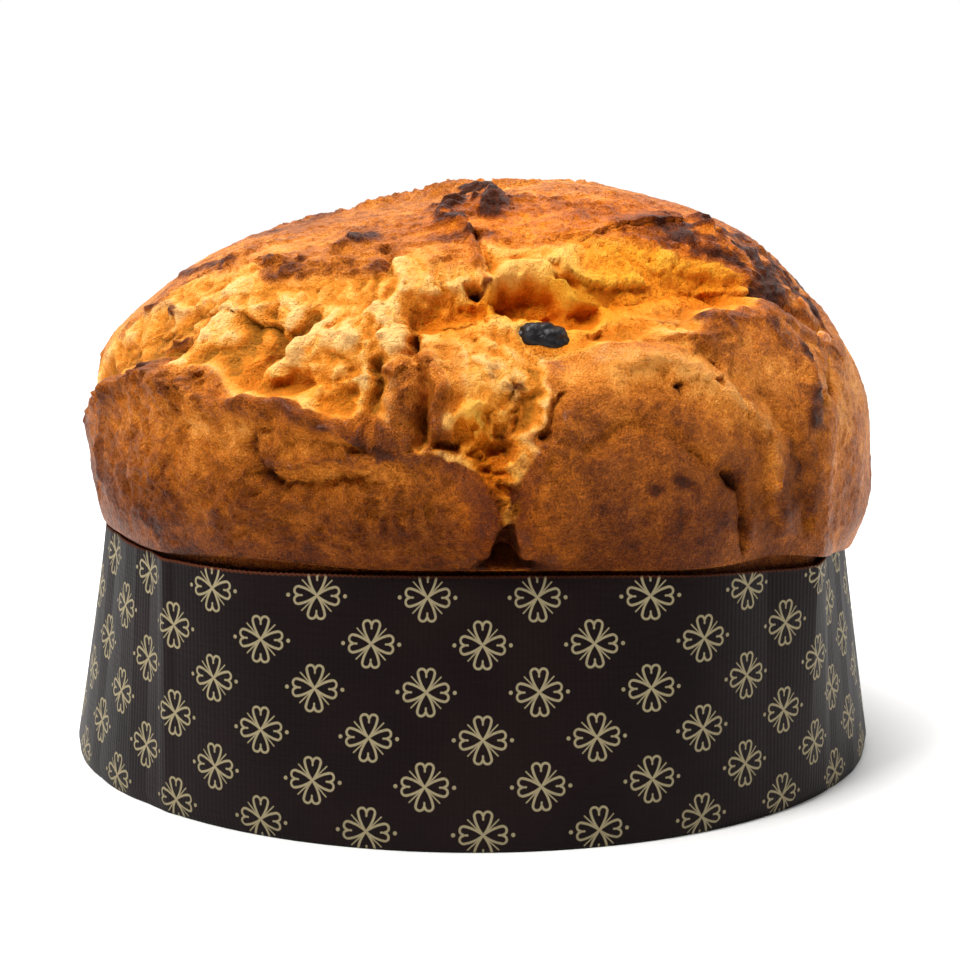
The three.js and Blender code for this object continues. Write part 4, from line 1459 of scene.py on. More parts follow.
def mesh_object(name: str, points: Array, faces: Sequence[Array]) -> bpy.types.Object:
    """Makes an object from arrays.

    Args:
        name: The object's name.
        points: The vertices in metres, one a row.
        faces: Arrays of faces, each with one number of corners.

    Returns:
        The object, linked to the scene.
    """
    mesh = bpy.data.meshes.new(name)
    corners = np.concatenate([block.reshape(-1) for block in faces])
    totals = np.concatenate([np.full(len(block), block.shape[1]) for block in faces])
    starts = np.concatenate([[0], np.cumsum(totals)[:-1]])
    mesh.vertices.add(len(points))
    mesh.vertices.foreach_set("co", np.asarray(points, np.float32).reshape(-1))
    mesh.loops.add(len(corners))
    mesh.loops.foreach_set("vertex_index", corners.astype(np.int32))
    mesh.polygons.add(len(totals))
    mesh.polygons.foreach_set("loop_start", starts.astype(np.int32))
    mesh.update(calc_edges=True)
    mesh.validate()
    piece = bpy.data.objects.new(name, mesh)
    bpy.context.scene.collection.objects.link(piece)
    return piece


def add_values(piece: bpy.types.Object, name: str, values: Array) -> None:
    """Gives a mesh a number at each vertex, which its material reads by name."""
    layer = piece.data.attributes.new(name, "FLOAT", "POINT")
    layer.data.foreach_set("value", np.asarray(values, np.float32))


def smooth(piece: bpy.types.Object) -> None:
    """Shades every face smoothly."""
    faces = piece.data.polygons
    faces.foreach_set("use_smooth", np.ones(len(faces), bool))


def thinned(piece: bpy.types.Object, most_faces: int) -> bpy.types.Object:
    """Collapses a piece's mesh.

    Args:
        piece: The mesh's object.
        most_faces: The triangles that it may keep.

    Returns:
        The same object.
    """
    piece.data.calc_loop_triangles()
    count = len(piece.data.loop_triangles)
    if count <= most_faces:
        return piece
    modifier = piece.modifiers.new("thin", "DECIMATE")
    modifier.ratio = most_faces / count
    modifier.use_collapse_triangulate = True
    shown = piece.evaluated_get(bpy.context.evaluated_depsgraph_get())
    mesh = bpy.data.meshes.new_from_object(shown)
    piece.modifiers.clear()
    old = piece.data
    piece.data = mesh
    bpy.data.meshes.remove(old)
    mesh.name = piece.name
    return piece


def operator(operation: str, reflected: bool = False) -> Callable[..., Value]:
    """Returns the method that adds a Math node for an operator, or for its reflected form."""

    def method(value: Value, *others: Any) -> Value:
        """Adds the Math node, and returns its result."""
        terms = (*others, value) if reflected else (value, *others)
        return value.shader.node("ShaderNodeMath", {"operation": operation}, dict(enumerate(terms)))

    return method


class Value:
    """A socket of a material's node tree, with the operators of plain arithmetic."""

    def __init__(self, shader: Shader, socket: Any) -> None:
        """Wraps one output socket."""
        self.shader = shader
        self.socket = socket

    __add__ = operator("ADD")
    __radd__ = operator("ADD", reflected=True)
    __sub__ = operator("SUBTRACT")
    __rsub__ = operator("SUBTRACT", reflected=True)
    __mul__ = operator("MULTIPLY")
    __rmul__ = operator("MULTIPLY", reflected=True)
    __truediv__ = operator("DIVIDE")
    __rtruediv__ = operator("DIVIDE", reflected=True)
    __pow__ = operator("POWER")
    __abs__ = operator("ABSOLUTE")
    __lt__ = operator("LESS_THAN")
    least = operator("MINIMUM")
    most = operator("MAXIMUM")
    root = operator("SQRT")
    _wrap = operator("WRAP")

    def wrapped(self, low: float, high: float) -> Value:
        """Returns the value wrapped into a range."""
        return self._wrap(high, low)

    def between(self, low: float, high: float) -> Value:
        """Returns 0 at low and 1 at high, with a soft start and end."""
        settings = {"interpolation_type": "SMOOTHSTEP"}
        inputs = {"Value": self, "From Min": low, "From Max": high}
        return self.shader.node("ShaderNodeMapRange", settings, inputs)


class Shader:
    """A material under construction, and the one way that its nodes are added."""

    def __init__(self, name: str) -> None:
        """Starts an empty material."""
        self.made = bpy.data.materials.new(name)
        self.made.use_nodes = True
        self.tree = self.made.node_tree
        self.tree.nodes.clear()

    def node(
        self,
        kind: str,
        settings: dict[str, Any] | None = None,
        inputs: dict[Any, Any] | None = None,
        output: Any = 0,
    ) -> Value:
        """Adds a node.

        Args:
            kind: The node's type.
            settings: Its properties, which are set first. A ramp's are its stops.
            inputs: The values or links of its sockets, by name or number.
            output: The output that the caller goes on with, by name or number.

        Returns:
            That output.
        """
        made = self.tree.nodes.new(kind)
        for key, value in (settings or {}).items():
            if key == "stops":
                self._set_stops(made.color_ramp, value)
            else:
                setattr(made, key, value)
        for key, value in (inputs or {}).items():
            if isinstance(value, Value):
                self.tree.links.new(value.socket, made.inputs[key])
            else:
                made.inputs[key].default_value = value
        return Value(self, made.outputs[output])

    @staticmethod
    def _set_stops(ramp: Any, stops: Sequence[tuple[float, Sequence[float]]]) -> None:
        """Gives a colour ramp its stops."""
        while len(ramp.elements) < len(stops):
            ramp.elements.new(1.0)
        for element, (position, colour) in zip(ramp.elements, stops):
            element.position = position
            element.color = colour

    def place(self) -> Value:
        """Returns the place on the piece, in millimetres."""
        raw = self.node("ShaderNodeTexCoord", output="Object")
        settings = {"operation": "SCALE"}
        return self.node("ShaderNodeVectorMath", settings, {0: raw, "Scale": 1 / MM})

    def attribute(self, name: str, output: str = "Fac") -> Value:
        """Returns a number or vector that the mesh carries by name."""
        return self.node("ShaderNodeAttribute", {"attribute_name": name}, output=output)

    def noise(self, place: Value, cell: float, detail: float = 2, rough: float = 0.5) -> Value:
        """Returns noise from 0 to 1 whose lumps are about a cell wide, in millimetres."""
        inputs = {"Vector": place, "Scale": 1 / cell, "Detail": detail, "Roughness": rough}
        return self.node("ShaderNodeTexNoise", {}, inputs)

    def ramp(self, value: Any, stops: Sequence[tuple[float, Sequence[float]]]) -> Value:
        """Returns a colour picked by a value."""
        return self.node("ShaderNodeValToRGB", {"stops": stops}, {0: value})

    def blend(self, share: Any, first: Any, second: Any, way: str = "MIX") -> Value:
        """Returns a mix of two colours, which at a share of 1 is the second."""
        settings = {"data_type": "RGBA", "blend_type": way}
        inputs = {0: share, 6: first, 7: second}
        return self.node("ShaderNodeMix", settings, inputs, 2)

    def bump(self, height: Value, strength: float = 1) -> Value:
        """Returns a normal bent by a height in millimetres."""
        inputs = {"Height": height, "Strength": strength, "Distance": MM}
        return self.node("ShaderNodeBump", {}, inputs)

    def finish(self, inputs: dict[str, Any]) -> bpy.types.Material:
        """Ends the material with a Principled shader, and returns it."""
        surface = self.node("ShaderNodeBsdfPrincipled", {}, inputs)
        self.end_with(surface)
        return self.made

    def end_with(self, surface: Value) -> None:
        """Links a surface to the material's output."""
        end = self.tree.nodes.new("ShaderNodeOutputMaterial")
        self.tree.links.new(surface.socket, end.inputs["Surface"])


@dataclass(frozen=True)
class Speckle:
    """Noise in a finish: the width of its lumps in millimetres, its detail and its roughness."""

    cell: float
    detail: float
    rough: float = 0.5

    def on(self, shader: Shader, place: Value) -> Value:
        """Adds the noise to a material, from about -0.5 to 0.5."""
        return shader.noise(place, self.cell, self.detail, self.rough) - 0.5


def flecked(value: Value, noises: Sequence[Value], weights: Sequence[float]) -> Value:
    """Returns a value broken up by noise on several scales."""
    for noise, weight in zip(noises, weights):
        value = value + noise * weight
    return value


@dataclass(frozen=True)
class BakedDough:
    """The loaf's finish: matt brown crust, burnt edges and torn amber crumb, with painted shade in its
    hollows.

    Attributes:
        noises: The mottle, the grit and the dust, which each row of weights below goes with.
        flat_amber: How much less the painted shade of the depth darkens amber crumb.
        lit_amber: How much paler amber crumb is.
    """

    crust: tuple = (
        (0.0, display(240, 164, 78)),
        (0.2, display(216, 130, 44)),
        (0.4, display(176, 96, 24)),
        (0.6, display(132, 68, 14)),
        (0.8, display(98, 44, 10)),
        (1.0, display(60, 26, 8)),
    )
    crumb: tuple = (
        (0.0, display(255, 200, 124)),
        (0.25, display(250, 172, 76)),
        (0.5, display(228, 136, 36)),
        (0.75, display(194, 118, 30)),
        (1.0, display(152, 98, 26)),
    )
    amber: tuple = display(255, 222, 42)
    amber_strength: float = 0.85
    noises: tuple[Speckle, ...] = (Speckle(5, 4, 0.6), Speckle(1.1, 3, 0.65), Speckle(0.42, 2, 0.6))
    crust_flecks: tuple = (0.34, 0.55, 0.8)
    crumb_flecks: tuple = (0.3, 0.5, 0.4)
    toasted_flecks: tuple = (0.5, 0.4)
    browned_flecks: tuple = (0, 0.5)
    torn_flecks: tuple = (0.4, 0.6)
    glaze_flecks: tuple = (1.6, 1.0)
    crumb_level: float = 0.38
    # How far the depth moves the crumb's colour: painted shade in hollows, painted light on crests.
    crumb_painted_shade: float = 0.55
    flat_amber: float = 0.3
    lit_amber: float = 0.14
    toasted_edge: tuple = (0.3, 0.8)
    torn_edge: tuple = (0.2, 0.7)
    rough: float = 0.4
    crumb_rough: float = 0.26
    grit_rough: float = 0.3
    grit_height: float = 1.1
    crumb_grit_height: float = 0.4
    dust_height: float = 0.8
    glaze: float = 0.14
    glaze_edge: tuple = (0.2, 0.9)
    glaze_depth: float = -0.5
    specular: float = 0.09
    scatter: float = 0.1
    scatter_radius: tuple = (1.0, 0.42, 0.14)
    scatter_scale: float = 0.003

    def material(self) -> bpy.types.Material:
        """Builds the material from the masks on the loaf's vertices.

        Returns:
            The material.
        """
        shader = Shader("baked dough")
        place = shader.place()
        toast, bare = shader.attribute("toast"), shader.attribute("bare")
        depth, amber = shader.attribute("depth"), shader.attribute("amber")
        noises = [speckle.on(shader, place) for speckle in self.noises]
        grit, dust = noises[1:]
        crust = shader.ramp(flecked(toast, noises, self.crust_flecks), self.crust)
        # Painted shade: deeper crumb is coloured darker, and crests paler as painted light.
        deep = depth * (self.crumb_painted_shade - amber * self.flat_amber) - amber * self.lit_amber
        crumb = shader.ramp(flecked(deep + self.crumb_level, noises, self.crumb_flecks), self.crumb)
        toasted = flecked(toast, noises, self.toasted_flecks).between(*self.toasted_edge)
        browned = shader.ramp(flecked(toast, noises, self.browned_flecks), self.crust)
        crumb = shader.blend(toasted, crumb, browned)
        torn = flecked(bare, noises, self.torn_flecks).between(*self.torn_edge)
        colour = shader.blend(torn, crust, crumb)
        colour = shader.blend(amber * self.amber_strength, colour, self.amber, "MULTIPLY")
        glazed = flecked(depth * self.glaze_depth, noises, self.glaze_flecks).between(*self.glaze_edge)
        height = grit * (self.grit_height + torn * self.crumb_grit_height) + dust * self.dust_height
        return shader.finish(
            {
                "Base Color": colour,
                "Roughness": self.rough + torn * self.crumb_rough + grit * self.grit_rough,
                "Normal": shader.bump(height),
                "Specular IOR Level": self.specular,
                "Coat Weight": glazed * (1 - torn) * self.glaze,
                "Coat Roughness": 0.3,
                "Subsurface Weight": self.scatter,
                "Subsurface Radius": self.scatter_radius,
                "Subsurface Scale": self.scatter_scale,
            }
        )


@dataclass(frozen=True)
class CloverPrint:
    """The case's printed ornament: four-leaf clovers in outline, in a half-drop repeat."""

    across: float = 26.5
    down: float = 21.1
    first_height: float = 4.1
    first_along: float = 2.0
    line: float = 0.27
    thin_line: float = 0.15
    lobe_side: float = 1.05
    lobe_out: float = 4.3
    lobe_radius: float = 0.95
    leaf_bulge: float = 0.07
    notch_end: float = 3.5
    ray_start: float = 0.8
    ray_end: float = 4.9
    dot_out: float = 6.7
    dot_radius: float = 0.46
    soft: float = 0.1
    notch_thinning: float = 0.04
    far: float = 9.0

    def ink(self, shader: Shader, along: Value, up: Value) -> Value:
        """Returns 1 on the print's lines.

        Args:
            shader: The material that gets the print. It is not used.
            along: Millimetres round the case.
            up: Millimetres up the case.

        Returns:
            The ink, from 0 to 1.
        """
        half_x, half_y = self.across / 2, self.down / 2
        x0 = (along - self.first_along).wrapped(-half_x, half_x)
        y0 = (up - self.first_height).wrapped(-half_y, half_y)
        x1 = (along - self.first_along - half_x).wrapped(-half_x, half_x)
        y1 = (up - self.first_height - half_y).wrapped(-half_y, half_y)
        nearer = (abs(x0) / half_x + abs(y0) / half_y) < 1.0
        x = abs(x0) * nearer + abs(x1) * (1 - nearer)
        y = abs(y0) * nearer + abs(y1) * (1 - nearer)
        side, out = x.least(y), x.most(y)
        leaf = self._leaf(side, out)
        rays = self._rays(side, out)
        dot = ((x - self.dot_out) ** 2.0 + y ** 2.0).root()
        ink = self._drawn(leaf, self.line).most(self._drawn(rays, self.thin_line))
        return ink.most(self._drawn(dot, self.dot_radius))

    def _drawn(self, distance: Value, half: float) -> Value:
        """Returns 1 within half a line's width of a distance of 0, with a soft edge."""
        return distance.between(half + self.soft, half - self.soft)

    def _leaf(self, side: Value, out: Value) -> Value:
        """Measures the distance to the outline of a heart-shaped leaf with a notch.

        Args:
            side: Millimetres beside the leaf's middle line.
            out: Millimetres out along it.

        Returns:
            The distance in millimetres.
        """
        edge = self.lobe_side + self.lobe_radius
        reach = math.hypot(edge, self.lobe_out)
        bent = side - (out * (self.lobe_out - out) * self.leaf_bulge).most(0.0)
        share = ((bent * edge + out * self.lobe_out) / reach**2).most(0.0).least(1.0)
        flank = (bent - share * edge) ** 2.0 + (out - share * self.lobe_out) ** 2.0
        ring = (side - self.lobe_side) ** 2.0 + (out - self.lobe_out) ** 2.0
        lobe = abs(ring.root() - self.lobe_radius) + (out < self.lobe_out) * self.far
        stub = out - out.most(self.notch_end).least(self.lobe_out + 0.2)
        notch = (stub**2.0 + side**2.0).root() + self.notch_thinning
        return flank.root().least(lobe).least(notch)

    def _rays(self, side: Value, out: Value) -> Value:
        """Returns the distance to the thin stroke between two leaves."""
        forward = (side + out) * math.sqrt(0.5)
        apart = (out - side) * math.sqrt(0.5)
        ends = (forward - forward.most(self.ray_start).least(self.ray_end)) ** 2.0
        return (ends + apart**2.0).root()


@dataclass(frozen=True)
class CasePaper:
    """The case's finish: dark brown glossy print outside, raw brown paper inside."""

    printed: tuple = display(17, 9, 9)
    clouded: tuple = display(26, 15, 15)
    ink: tuple = display(146, 134, 104)
    raw: tuple = display(92, 48, 28)
    ornament: CloverPrint = CloverPrint()
    cloud: Speckle = Speckle(30, 3)
    cloud_edge: tuple = (0.2, 0.8)
    fibre: Speckle = Speckle(0.7, 3, 0.6)
    plain_rough: tuple[float, float] = (0.7, 0.2)
    plain_height: float = 0.1
    worn_edge: tuple = (0.2, 0.5)
    worn_ink: float = 0.72
    rough: float = 0.48
    fibre_rough: float = 0.12
    ink_rough: float = 0.1
    inside_rough: float = 0.3
    craze_height: float = 0.03
    fibre_height: float = 0.02
    ink_height: float = 0.01
    crazes_along: float = 0.16
    crazes_up: float = 1.1
    craze_edge: tuple = (0.42, 0.62)
    specular: float = 0.12
    refraction: float = 1.35

    def plain(self) -> bpy.types.Material:
        """Builds the base disc's material, which has no print.

        Returns:
            The material.
        """
        shader = Shader("plain case paper")
        fibre = self.fibre.on(shader, shader.place())
        level, change = self.plain_rough
        return shader.finish(
            {
                "Base Color": shader.blend(fibre + 0.5, self.printed, self.raw),
                "Roughness": level + fibre * change,
                "Normal": shader.bump(fibre * self.plain_height),
            }
        )

    def material(self) -> bpy.types.Material:
        """Builds the wall's material: printed outside, raw inside.

        Returns:
            The material.
        """
        shader = Shader("case paper")
        place = shader.place()
        cloud, fibre = self.cloud.on(shader, place), self.fibre.on(shader, place)
        clouded = (cloud + 0.5).between(*self.cloud_edge)
        along, up = shader.attribute("along"), shader.attribute("up")
        inside = shader.attribute("inside")
        ink = self.ornament.ink(shader, along, up) * (1 - shader.attribute("seam"))
        worn = (fibre + 0.5).between(*self.worn_edge)
        ground = shader.blend(clouded, self.printed, self.clouded)
        printed = shader.blend(ink * (self.worn_ink + worn * (1 - self.worn_ink)), ground, self.ink)
        craze = self._craze(shader, along, up) * self.craze_height
        rough = self.rough + fibre * self.fibre_rough + ink * self.ink_rough
        return shader.finish(
            {
                "Base Color": shader.blend(inside, printed, self.raw),
                "Roughness": rough + inside * self.inside_rough,
                "Normal": shader.bump(craze + fibre * self.fibre_height + ink * self.ink_height),
                "Specular IOR Level": self.specular,
                "IOR": self.refraction,
            }
        )

    def _craze(self, shader: Shader, along: Value, up: Value) -> Value:
        """Returns short level creases, as where damp paper has shrunk, from 0 to 1."""
        inputs = {"X": along * self.crazes_along, "Y": up * self.crazes_up, "Z": 0.0}
        place = shader.node("ShaderNodeCombineXYZ", {}, inputs)
        return shader.noise(place, 1.0, 3.0).between(*self.craze_edge)


@dataclass
class PaperCase:
    """The fluted paper case, standing round the loaf's body.

    Attributes:
        rim_teeth: How far the rim dips between two flutes, in millimetres.
        heights: Where the wall's rings lie, as shares of its height.
        measured: The ring that the print is measured along.
        crease_at_foot: How much of a crease is left at the foot.
    """

    form: CaseForm
    flute: float = 1.2
    mean_radius: float = 100
    flute_depth: float = 0.05
    columns_a_flute: int = 5
    thickness: float = 0.85
    rim_teeth: float = 0.3
    heights: tuple[float, ...] = (0.0, 0.012, 0.05, 0.2, 0.4, 0.6, 0.8, 0.94, 0.99, 1.0)
    measured: int = 4
    crease_at_foot: float = 0.35
    creases: tuple[Dent, ...] = (
        Dent(-44, 2.0, 0.7),
        Dent(-49, 4, -1.2),
        Dent(-57, 3, 0.3),
        Dent(-63, 3, -0.6),
        Dent(-71, 3.2, 0.3),
        Dent(57, 2.2, -0.7),
        Dent(66, 2.8, 0.5),
        Dent(76, 3, -0.5),
        Dent(126, 2.4, -0.6),
        Dent(-128, 2.4, -0.6),
        Dent(158, 3, 0.4),
    )

    def rings(self, around: Array, wave: Array) -> tuple[list[Array], list[Array]]:
        """Works out the wall's rings, up its outside and down its inside.

        Args:
            around: The azimuths of the columns.
            wave: How deep in its flute each column lies, from 0 to 1.

        Returns:
            The rings' points, and whether each lies inside, from 0 to 1.
        """
        rim = self.form.rim_height(around) - self.rim_teeth * wave
        faces = [(share, False) for share in self.heights]
        faces += [(share, True) for share in self.heights[::-1]]
        rings, sides = [], []
        for share, inside in faces:
            z = share * rim
            radius = self.form.radius(around, z) - self.flute_depth * wave
            strength = self.crease_at_foot + (1 - self.crease_at_foot) * share
            for crease in self.creases:
                radius = radius + crease.creased(around) * strength
            radius = radius - (self.thickness - self.flute_depth) * inside
            rings.append(ring(around, radius, z))
            sides.append(np.full(len(around), float(inside or share == 1)))
        return rings, sides

    def mesh(self) -> bpy.types.Object:
        """Builds the wall: fluted up its outside, over the toothed rim and down its inside.

        Returns:
            The wall, with what its print needs on its vertices.
        """
        flutes = round(2 * math.pi * self.mean_radius / self.flute)
        columns = flutes * self.columns_a_flute
        around = np.arange(columns) * 360 / columns - 180
        wave = 0.5 - 0.5 * np.cos(np.radians(around) * flutes)
        rings, sides = self.rings(around, wave)
        points = np.concatenate(rings)
        corner = np.arange(len(points)).reshape(len(rings), columns)
        wall = mesh_object("case_wall_dressed", points * MM, [band(corner, np.roll(corner, -1, axis=0))])
        steps = np.linalg.norm(np.diff(rings[self.measured], axis=0), axis=1)
        along = np.concatenate([[0], np.cumsum(steps)])
        along -= np.interp(0, around, along)
        seam = np.isin(np.arange(columns), (0, columns - 1)).astype(float)
        add_values(wall, "along", np.tile(along, len(rings)))
        add_values(wall, "up", points[:, 2])
        add_values(wall, "inside", np.concatenate(sides))
        add_values(wall, "seam", np.tile(seam, len(rings)))
        return wall

    def build(self, frame: dict[str, Any]) -> bpy.types.Object:
        """Builds the wall and dresses the base disc, which stays as it is.

        Args:
            frame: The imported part.

        Returns:
            The wall.
        """
        wall = self.mesh()
        smooth(wall)
        paper = CasePaper()
        wall.data.materials.append(paper.material())
        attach(wall, "root")
        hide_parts("case_wall")
        frame["nodes"]["case_base"].material_slots[0].material = paper.plain()
        return wall


@dataclass(frozen=True)
class FruitSkin:
    """A fruit's finish: two clouded colours under a wrinkled sheen."""

    name: str
    colour: tuple
    cloud: tuple
    cloud_strength: float
    cloud_edge: tuple[float, float]
    grain: Speckle
    height: float
    fine_height: float
    rough: float
    specular: float
    scatter: float = 0
    fine: Speckle = Speckle(0.5, 2)
    grain_rough: float = 0.2
    scatter_radius: tuple = (1.0, 0.4, 0.1)
    scatter_scale: float = 0.002

    def material(self) -> bpy.types.Material:
        """Builds the material.

        Returns:
            The material.
        """
        shader = Shader(self.name)
        place = shader.place()
        grain = self.grain.on(shader, place) + 0.5
        fine = self.fine.on(shader, place)
        clouded = grain.between(*self.cloud_edge) * self.cloud_strength
        return shader.finish(
            {
                "Base Color": shader.blend(clouded, self.colour, self.cloud),
                "Roughness": self.rough + grain * self.grain_rough,
                "Normal": shader.bump(grain * self.height + fine * self.fine_height),
                "Specular IOR Level": self.specular,
                "Subsurface Weight": self.scatter,
                "Subsurface Radius": self.scatter_radius,
                "Subsurface Scale": self.scatter_scale,
            }
        )


RAISIN_SKIN = FruitSkin(
    name="raisin skin",
    colour=display(14, 10, 12),
    cloud=display(34, 32, 40),
    cloud_strength=0.5,
    cloud_edge=(0.45, 0.75),
    grain=Speckle(2.2, 3),
    height=0.5,
    fine_height=0.1,
    rough=0.34,
    specular=0.35,
)
CANDIED_PEEL = FruitSkin(
    name="candied peel",
    colour=display(214, 134, 56),
    cloud=display(176, 88, 28),
    cloud_strength=1.0,
    cloud_edge=(0.35, 0.7),
    grain=Speckle(1.4, 3),
    height=0.25,
    fine_height=0.0,
    rough=0.28,
    specular=0.2,
    scatter=0.2,
)


@dataclass
class Inclusion:
    """A piece of fruit that shows in the crown, laid where its solid lies.

    Attributes:
        node: The solid that it replaces.
        size: Its length, breadth and thickness in millimetres.
        roll: Its turn on the surface, in degrees.
        wrinkle: How deep its wrinkles are, in millimetres.
        slot: The record's material slot.
        rows: How many rings of corners it has.
    """

    node: str
    size: tuple[float, float, float]
    azimuth: float
    latitude: float
    roll: float
    wrinkle: float
    slot: str
    rows: int = 60
    bend: Layer = Layer(6, 1.2, 1)
    folds: Layer = Layer(4.2, 1, 2)
    fine_folds: Layer = Layer(2.1, 0.25, 3)
    fold_level: float = 0.5

    def middle(self) -> Array:
        """Returns the middle of the solid's box, in millimetres."""
        low, high = (np.array(corner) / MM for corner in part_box(self.node))
        return (low + high) / 2

    def seat(self) -> Seat:
        """Returns the hollow that it lies in."""
        return Seat(self.middle(), self.size[0] / 2)

    def wrinkled(self, unit: Array) -> Array:
        """Wrinkles a smooth oval.

        Args:
            unit: The points of a ball of radius 1.

        Returns:
            The points of the fruit, lying level round the origin.
        """
        noise = Noise(sum(map(ord, self.node)))
        half = np.array(self.size) / 2
        bends = noise.push(unit * half, self.bend)
        folds = np.abs(noise.soft(bends, self.folds))
        folds = folds + self.fine_folds.strength * np.abs(noise.soft(bends, self.fine_folds))
        shrunk = self.wrinkle * (self.fold_level - folds) / half.min()
        return unit * half * (1 - shrunk[:, None])

    def laid(self, points: Array) -> Array:
        """Returns the points turned as the fruit lies, round the middle of its solid."""
        azimuth, latitude = np.array(self.azimuth), np.array(self.latitude)
        out, east = heading(azimuth, latitude), eastward(azimuth)
        turned = Matrix.Rotation(math.radians(self.roll), 3, "Z")
        axes = np.array([east, np.cross(out, east), out]).T @ np.array(turned)
        return points @ axes.T + self.middle()

    def build(self, material: bpy.types.Material) -> bpy.types.Object:
        """Builds the piece round the middle of its solid.

        Args:
            material: Its finish.

        Returns:
            The dressed piece.
        """
        columns = 2 * self.rows
        around = np.linspace(0, 2 * np.pi, columns, endpoint=False)
        down = np.linspace(0, np.pi, self.rows + 2)[1:-1, None]
        across = [np.sin(down) * np.cos(around), np.sin(down) * np.sin(around)]
        ball = np.stack([*across, np.cos(down) + 0 * around], axis=-1).reshape(-1, 3)
        top, bottom = len(ball), len(ball) + 1
        ball = np.concatenate([ball, [[0, 0, 1], [0, 0, -1]]])
        corner = np.arange(self.rows * columns).reshape(self.rows, columns)
        quads = flipped(band(corner[:-1], corner[1:]))
        fans = np.concatenate([fan(top, corner[0]), flipped(fan(bottom, corner[-1]))])
        points = self.laid(self.wrinkled(ball))
        piece = mesh_object(f"{self.node}_dressed", points * MM, [quads, fans])
        smooth(piece)
        piece.data.materials.append(material)
        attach(piece, "root")
        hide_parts(self.node)
        return piece


FRUIT = (
    Inclusion("raisin", (13.5, 8.5, 8), 11.1, 22, -12, 0.8, "raisin_skin"),
    Inclusion("peel_sliver_upper", (9, 3.2, 2.6), 64, 22, -60, 0.5, "candied_peel", 30),
    Inclusion("peel_sliver_lower", (9, 3.2, 2.6), 62, 17.5, -8, 0.5, "candied_peel", 30),
)


@dataclass(frozen=True)
class Softbox:
    """A square studio light that looks at the loaf. Lengths are metres, its power is watts."""

    name: str
    place: tuple[float, float, float]
    size: tuple[float, float]
    power: float
    tint: tuple[float, float, float] = (1, 1, 1)
    aim: tuple[float, float, float] = (0, 0, 0.07)


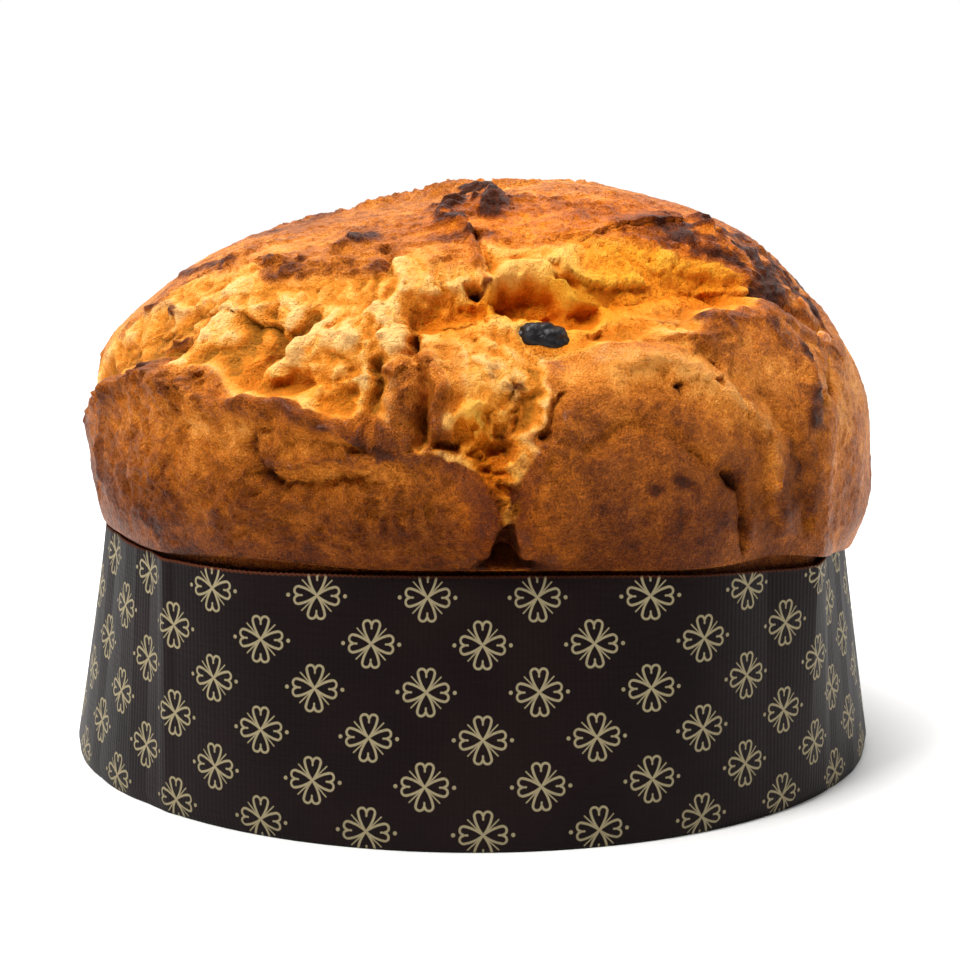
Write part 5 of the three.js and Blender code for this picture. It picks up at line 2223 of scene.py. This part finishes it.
@dataclass
class Studio:
    """The floor, the camera and the lights, none of which is part of the object."""

    eye: tuple[float, float, float] = (0.0013, -0.577, 0.1641)
    aim: tuple[float, float, float] = (0.0013, 0, 0.0676)
    lens: float = 82.24
    sensor: float = 36
    floor_size: float = 3
    floor_level: float = -0.0001
    sky: float = 0.05
    backdrop_distance: float = 1.45
    backdrop_foot: float = -0.1
    backdrop_glow: float = 1.02
    softboxes: tuple[Softbox, ...] = (
        Softbox("key", (-0.4, -0.5, 0.95), (0.35, 0.35), 11.0, (1, 0.985, 0.96)),
        Softbox("top", (-0.1, 0.0, 1.0), (0.6, 0.5), 9.0),
        Softbox("floor wash", (0, 0.9, 0.8), (2.4, 0.6), 10.0, aim=(0, 1.0, 0)),
        Softbox("right strip", (0.75, 0.0, 0.3), (0.2, 0.6), 1.9),
        Softbox("left strip", (-0.75, 0.1, 0.3), (0.2, 0.6), 1.2),
    )

    def _look(self, thing: bpy.types.Object, aim: Vector) -> None:
        """Turns a camera or a light to look at a point."""
        away = aim - thing.location
        thing.rotation_euler = away.to_track_quat("-Z", "Y").to_euler()

    def set_camera(self) -> None:
        """Puts the camera where the photograph was taken from."""
        data = bpy.data.cameras.new("camera")
        data.lens = self.lens
        data.sensor_width = self.sensor
        data.sensor_fit = "HORIZONTAL"
        data.clip_start = 0.01
        camera = bpy.data.objects.new("camera", data)
        bpy.context.scene.collection.objects.link(camera)
        camera.location = self.eye
        self._look(camera, Vector(self.aim))
        bpy.context.scene.camera = camera

    def set_lights(self) -> None:
        """Hangs the softboxes and lights the air evenly."""
        for box in self.softboxes:
            data = bpy.data.lights.new(box.name, "AREA")
            data.shape = "RECTANGLE"
            data.size, data.size_y = box.size
            data.energy = box.power
            data.color = box.tint
            light = bpy.data.objects.new(box.name, data)
            light.location = box.place
            bpy.context.scene.collection.objects.link(light)
            self._look(light, Vector(box.aim))
        world = bpy.data.worlds.new("studio air")
        world.use_nodes = True
        background = world.node_tree.nodes["Background"]
        background.inputs["Color"].default_value = (1, 1, 1, 1)
        background.inputs["Strength"].default_value = self.sky
        bpy.context.scene.world = world

    def lay_floor(self) -> None:
        """Lays the pale floor."""
        half = self.floor_size / 2
        corners = [(-half, -half), (half, -half), (half, half), (-half, half)]
        points = np.array([(x, y, self.floor_level) for x, y in corners])
        floor = mesh_object("floor", points, [np.array([[0, 1, 2, 3]])])
        shader = Shader("pale floor")
        cloud = shader.noise(shader.place(), 60, 2) - 0.5
        colour = shader.blend(cloud + 0.5, display(249, 249, 249), display(247, 248, 248))
        floor.data.materials.append(shader.finish({"Base Color": colour, "Roughness": 0.6}))

    def hang_backdrop(self) -> None:
        """Hangs an evenly lit white backdrop behind the loaf."""
        half, low = self.floor_size, self.backdrop_foot
        corners = [(-half, low), (-half, half), (half, half), (half, low)]
        points = np.array([(x, self.backdrop_distance, z) for x, z in corners])
        backdrop = mesh_object("backdrop", points, [np.array([[0, 1, 2, 3]])])
        shader = Shader("lit backdrop")
        cloud = shader.noise(shader.place(), 400, 1)
        shade = shader.blend(cloud, display(255, 255, 255), display(253, 254, 254))
        glow = shader.node("ShaderNodeEmission", {}, {"Color": shade, "Strength": self.backdrop_glow})
        shader.end_with(glow)
        backdrop.data.materials.append(shader.made)

    def build(self) -> None:
        """Sets up the whole studio."""
        self.set_camera()
        self.set_lights()
        self.lay_floor()
        self.hang_backdrop()
        view = bpy.context.scene.view_settings
        view.view_transform = "Standard"
        view.look = "None"


def main() -> None:
    """Builds the pieces in order."""
    logging.basicConfig(level=logging.INFO, format="%(name)s: %(message)s")
    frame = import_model()
    Studio().build()
    LOG.info("studio is set")
    case_form = CaseForm()
    case = PaperCase(case_form).build(frame)
    LOG.info("%s has %d faces", case.name, len(case.data.polygons))
    seats = tuple(piece.seat() for piece in FRUIT)
    coarser = {}
    loaf = Loaf(CrownForm(case_form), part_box("loaf"), seats, **coarser).build()
    LOG.info("%s has %d faces", loaf.name, len(loaf.data.polygons))
    finishes = {"raisin_skin": RAISIN_SKIN.material(), "candied_peel": CANDIED_PEEL.material()}
    for inclusion in FRUIT:
        piece = inclusion.build(finishes[inclusion.slot])
        LOG.info("%s has %d faces", piece.name, len(piece.data.polygons))


if __name__ == "__main__":
    main()
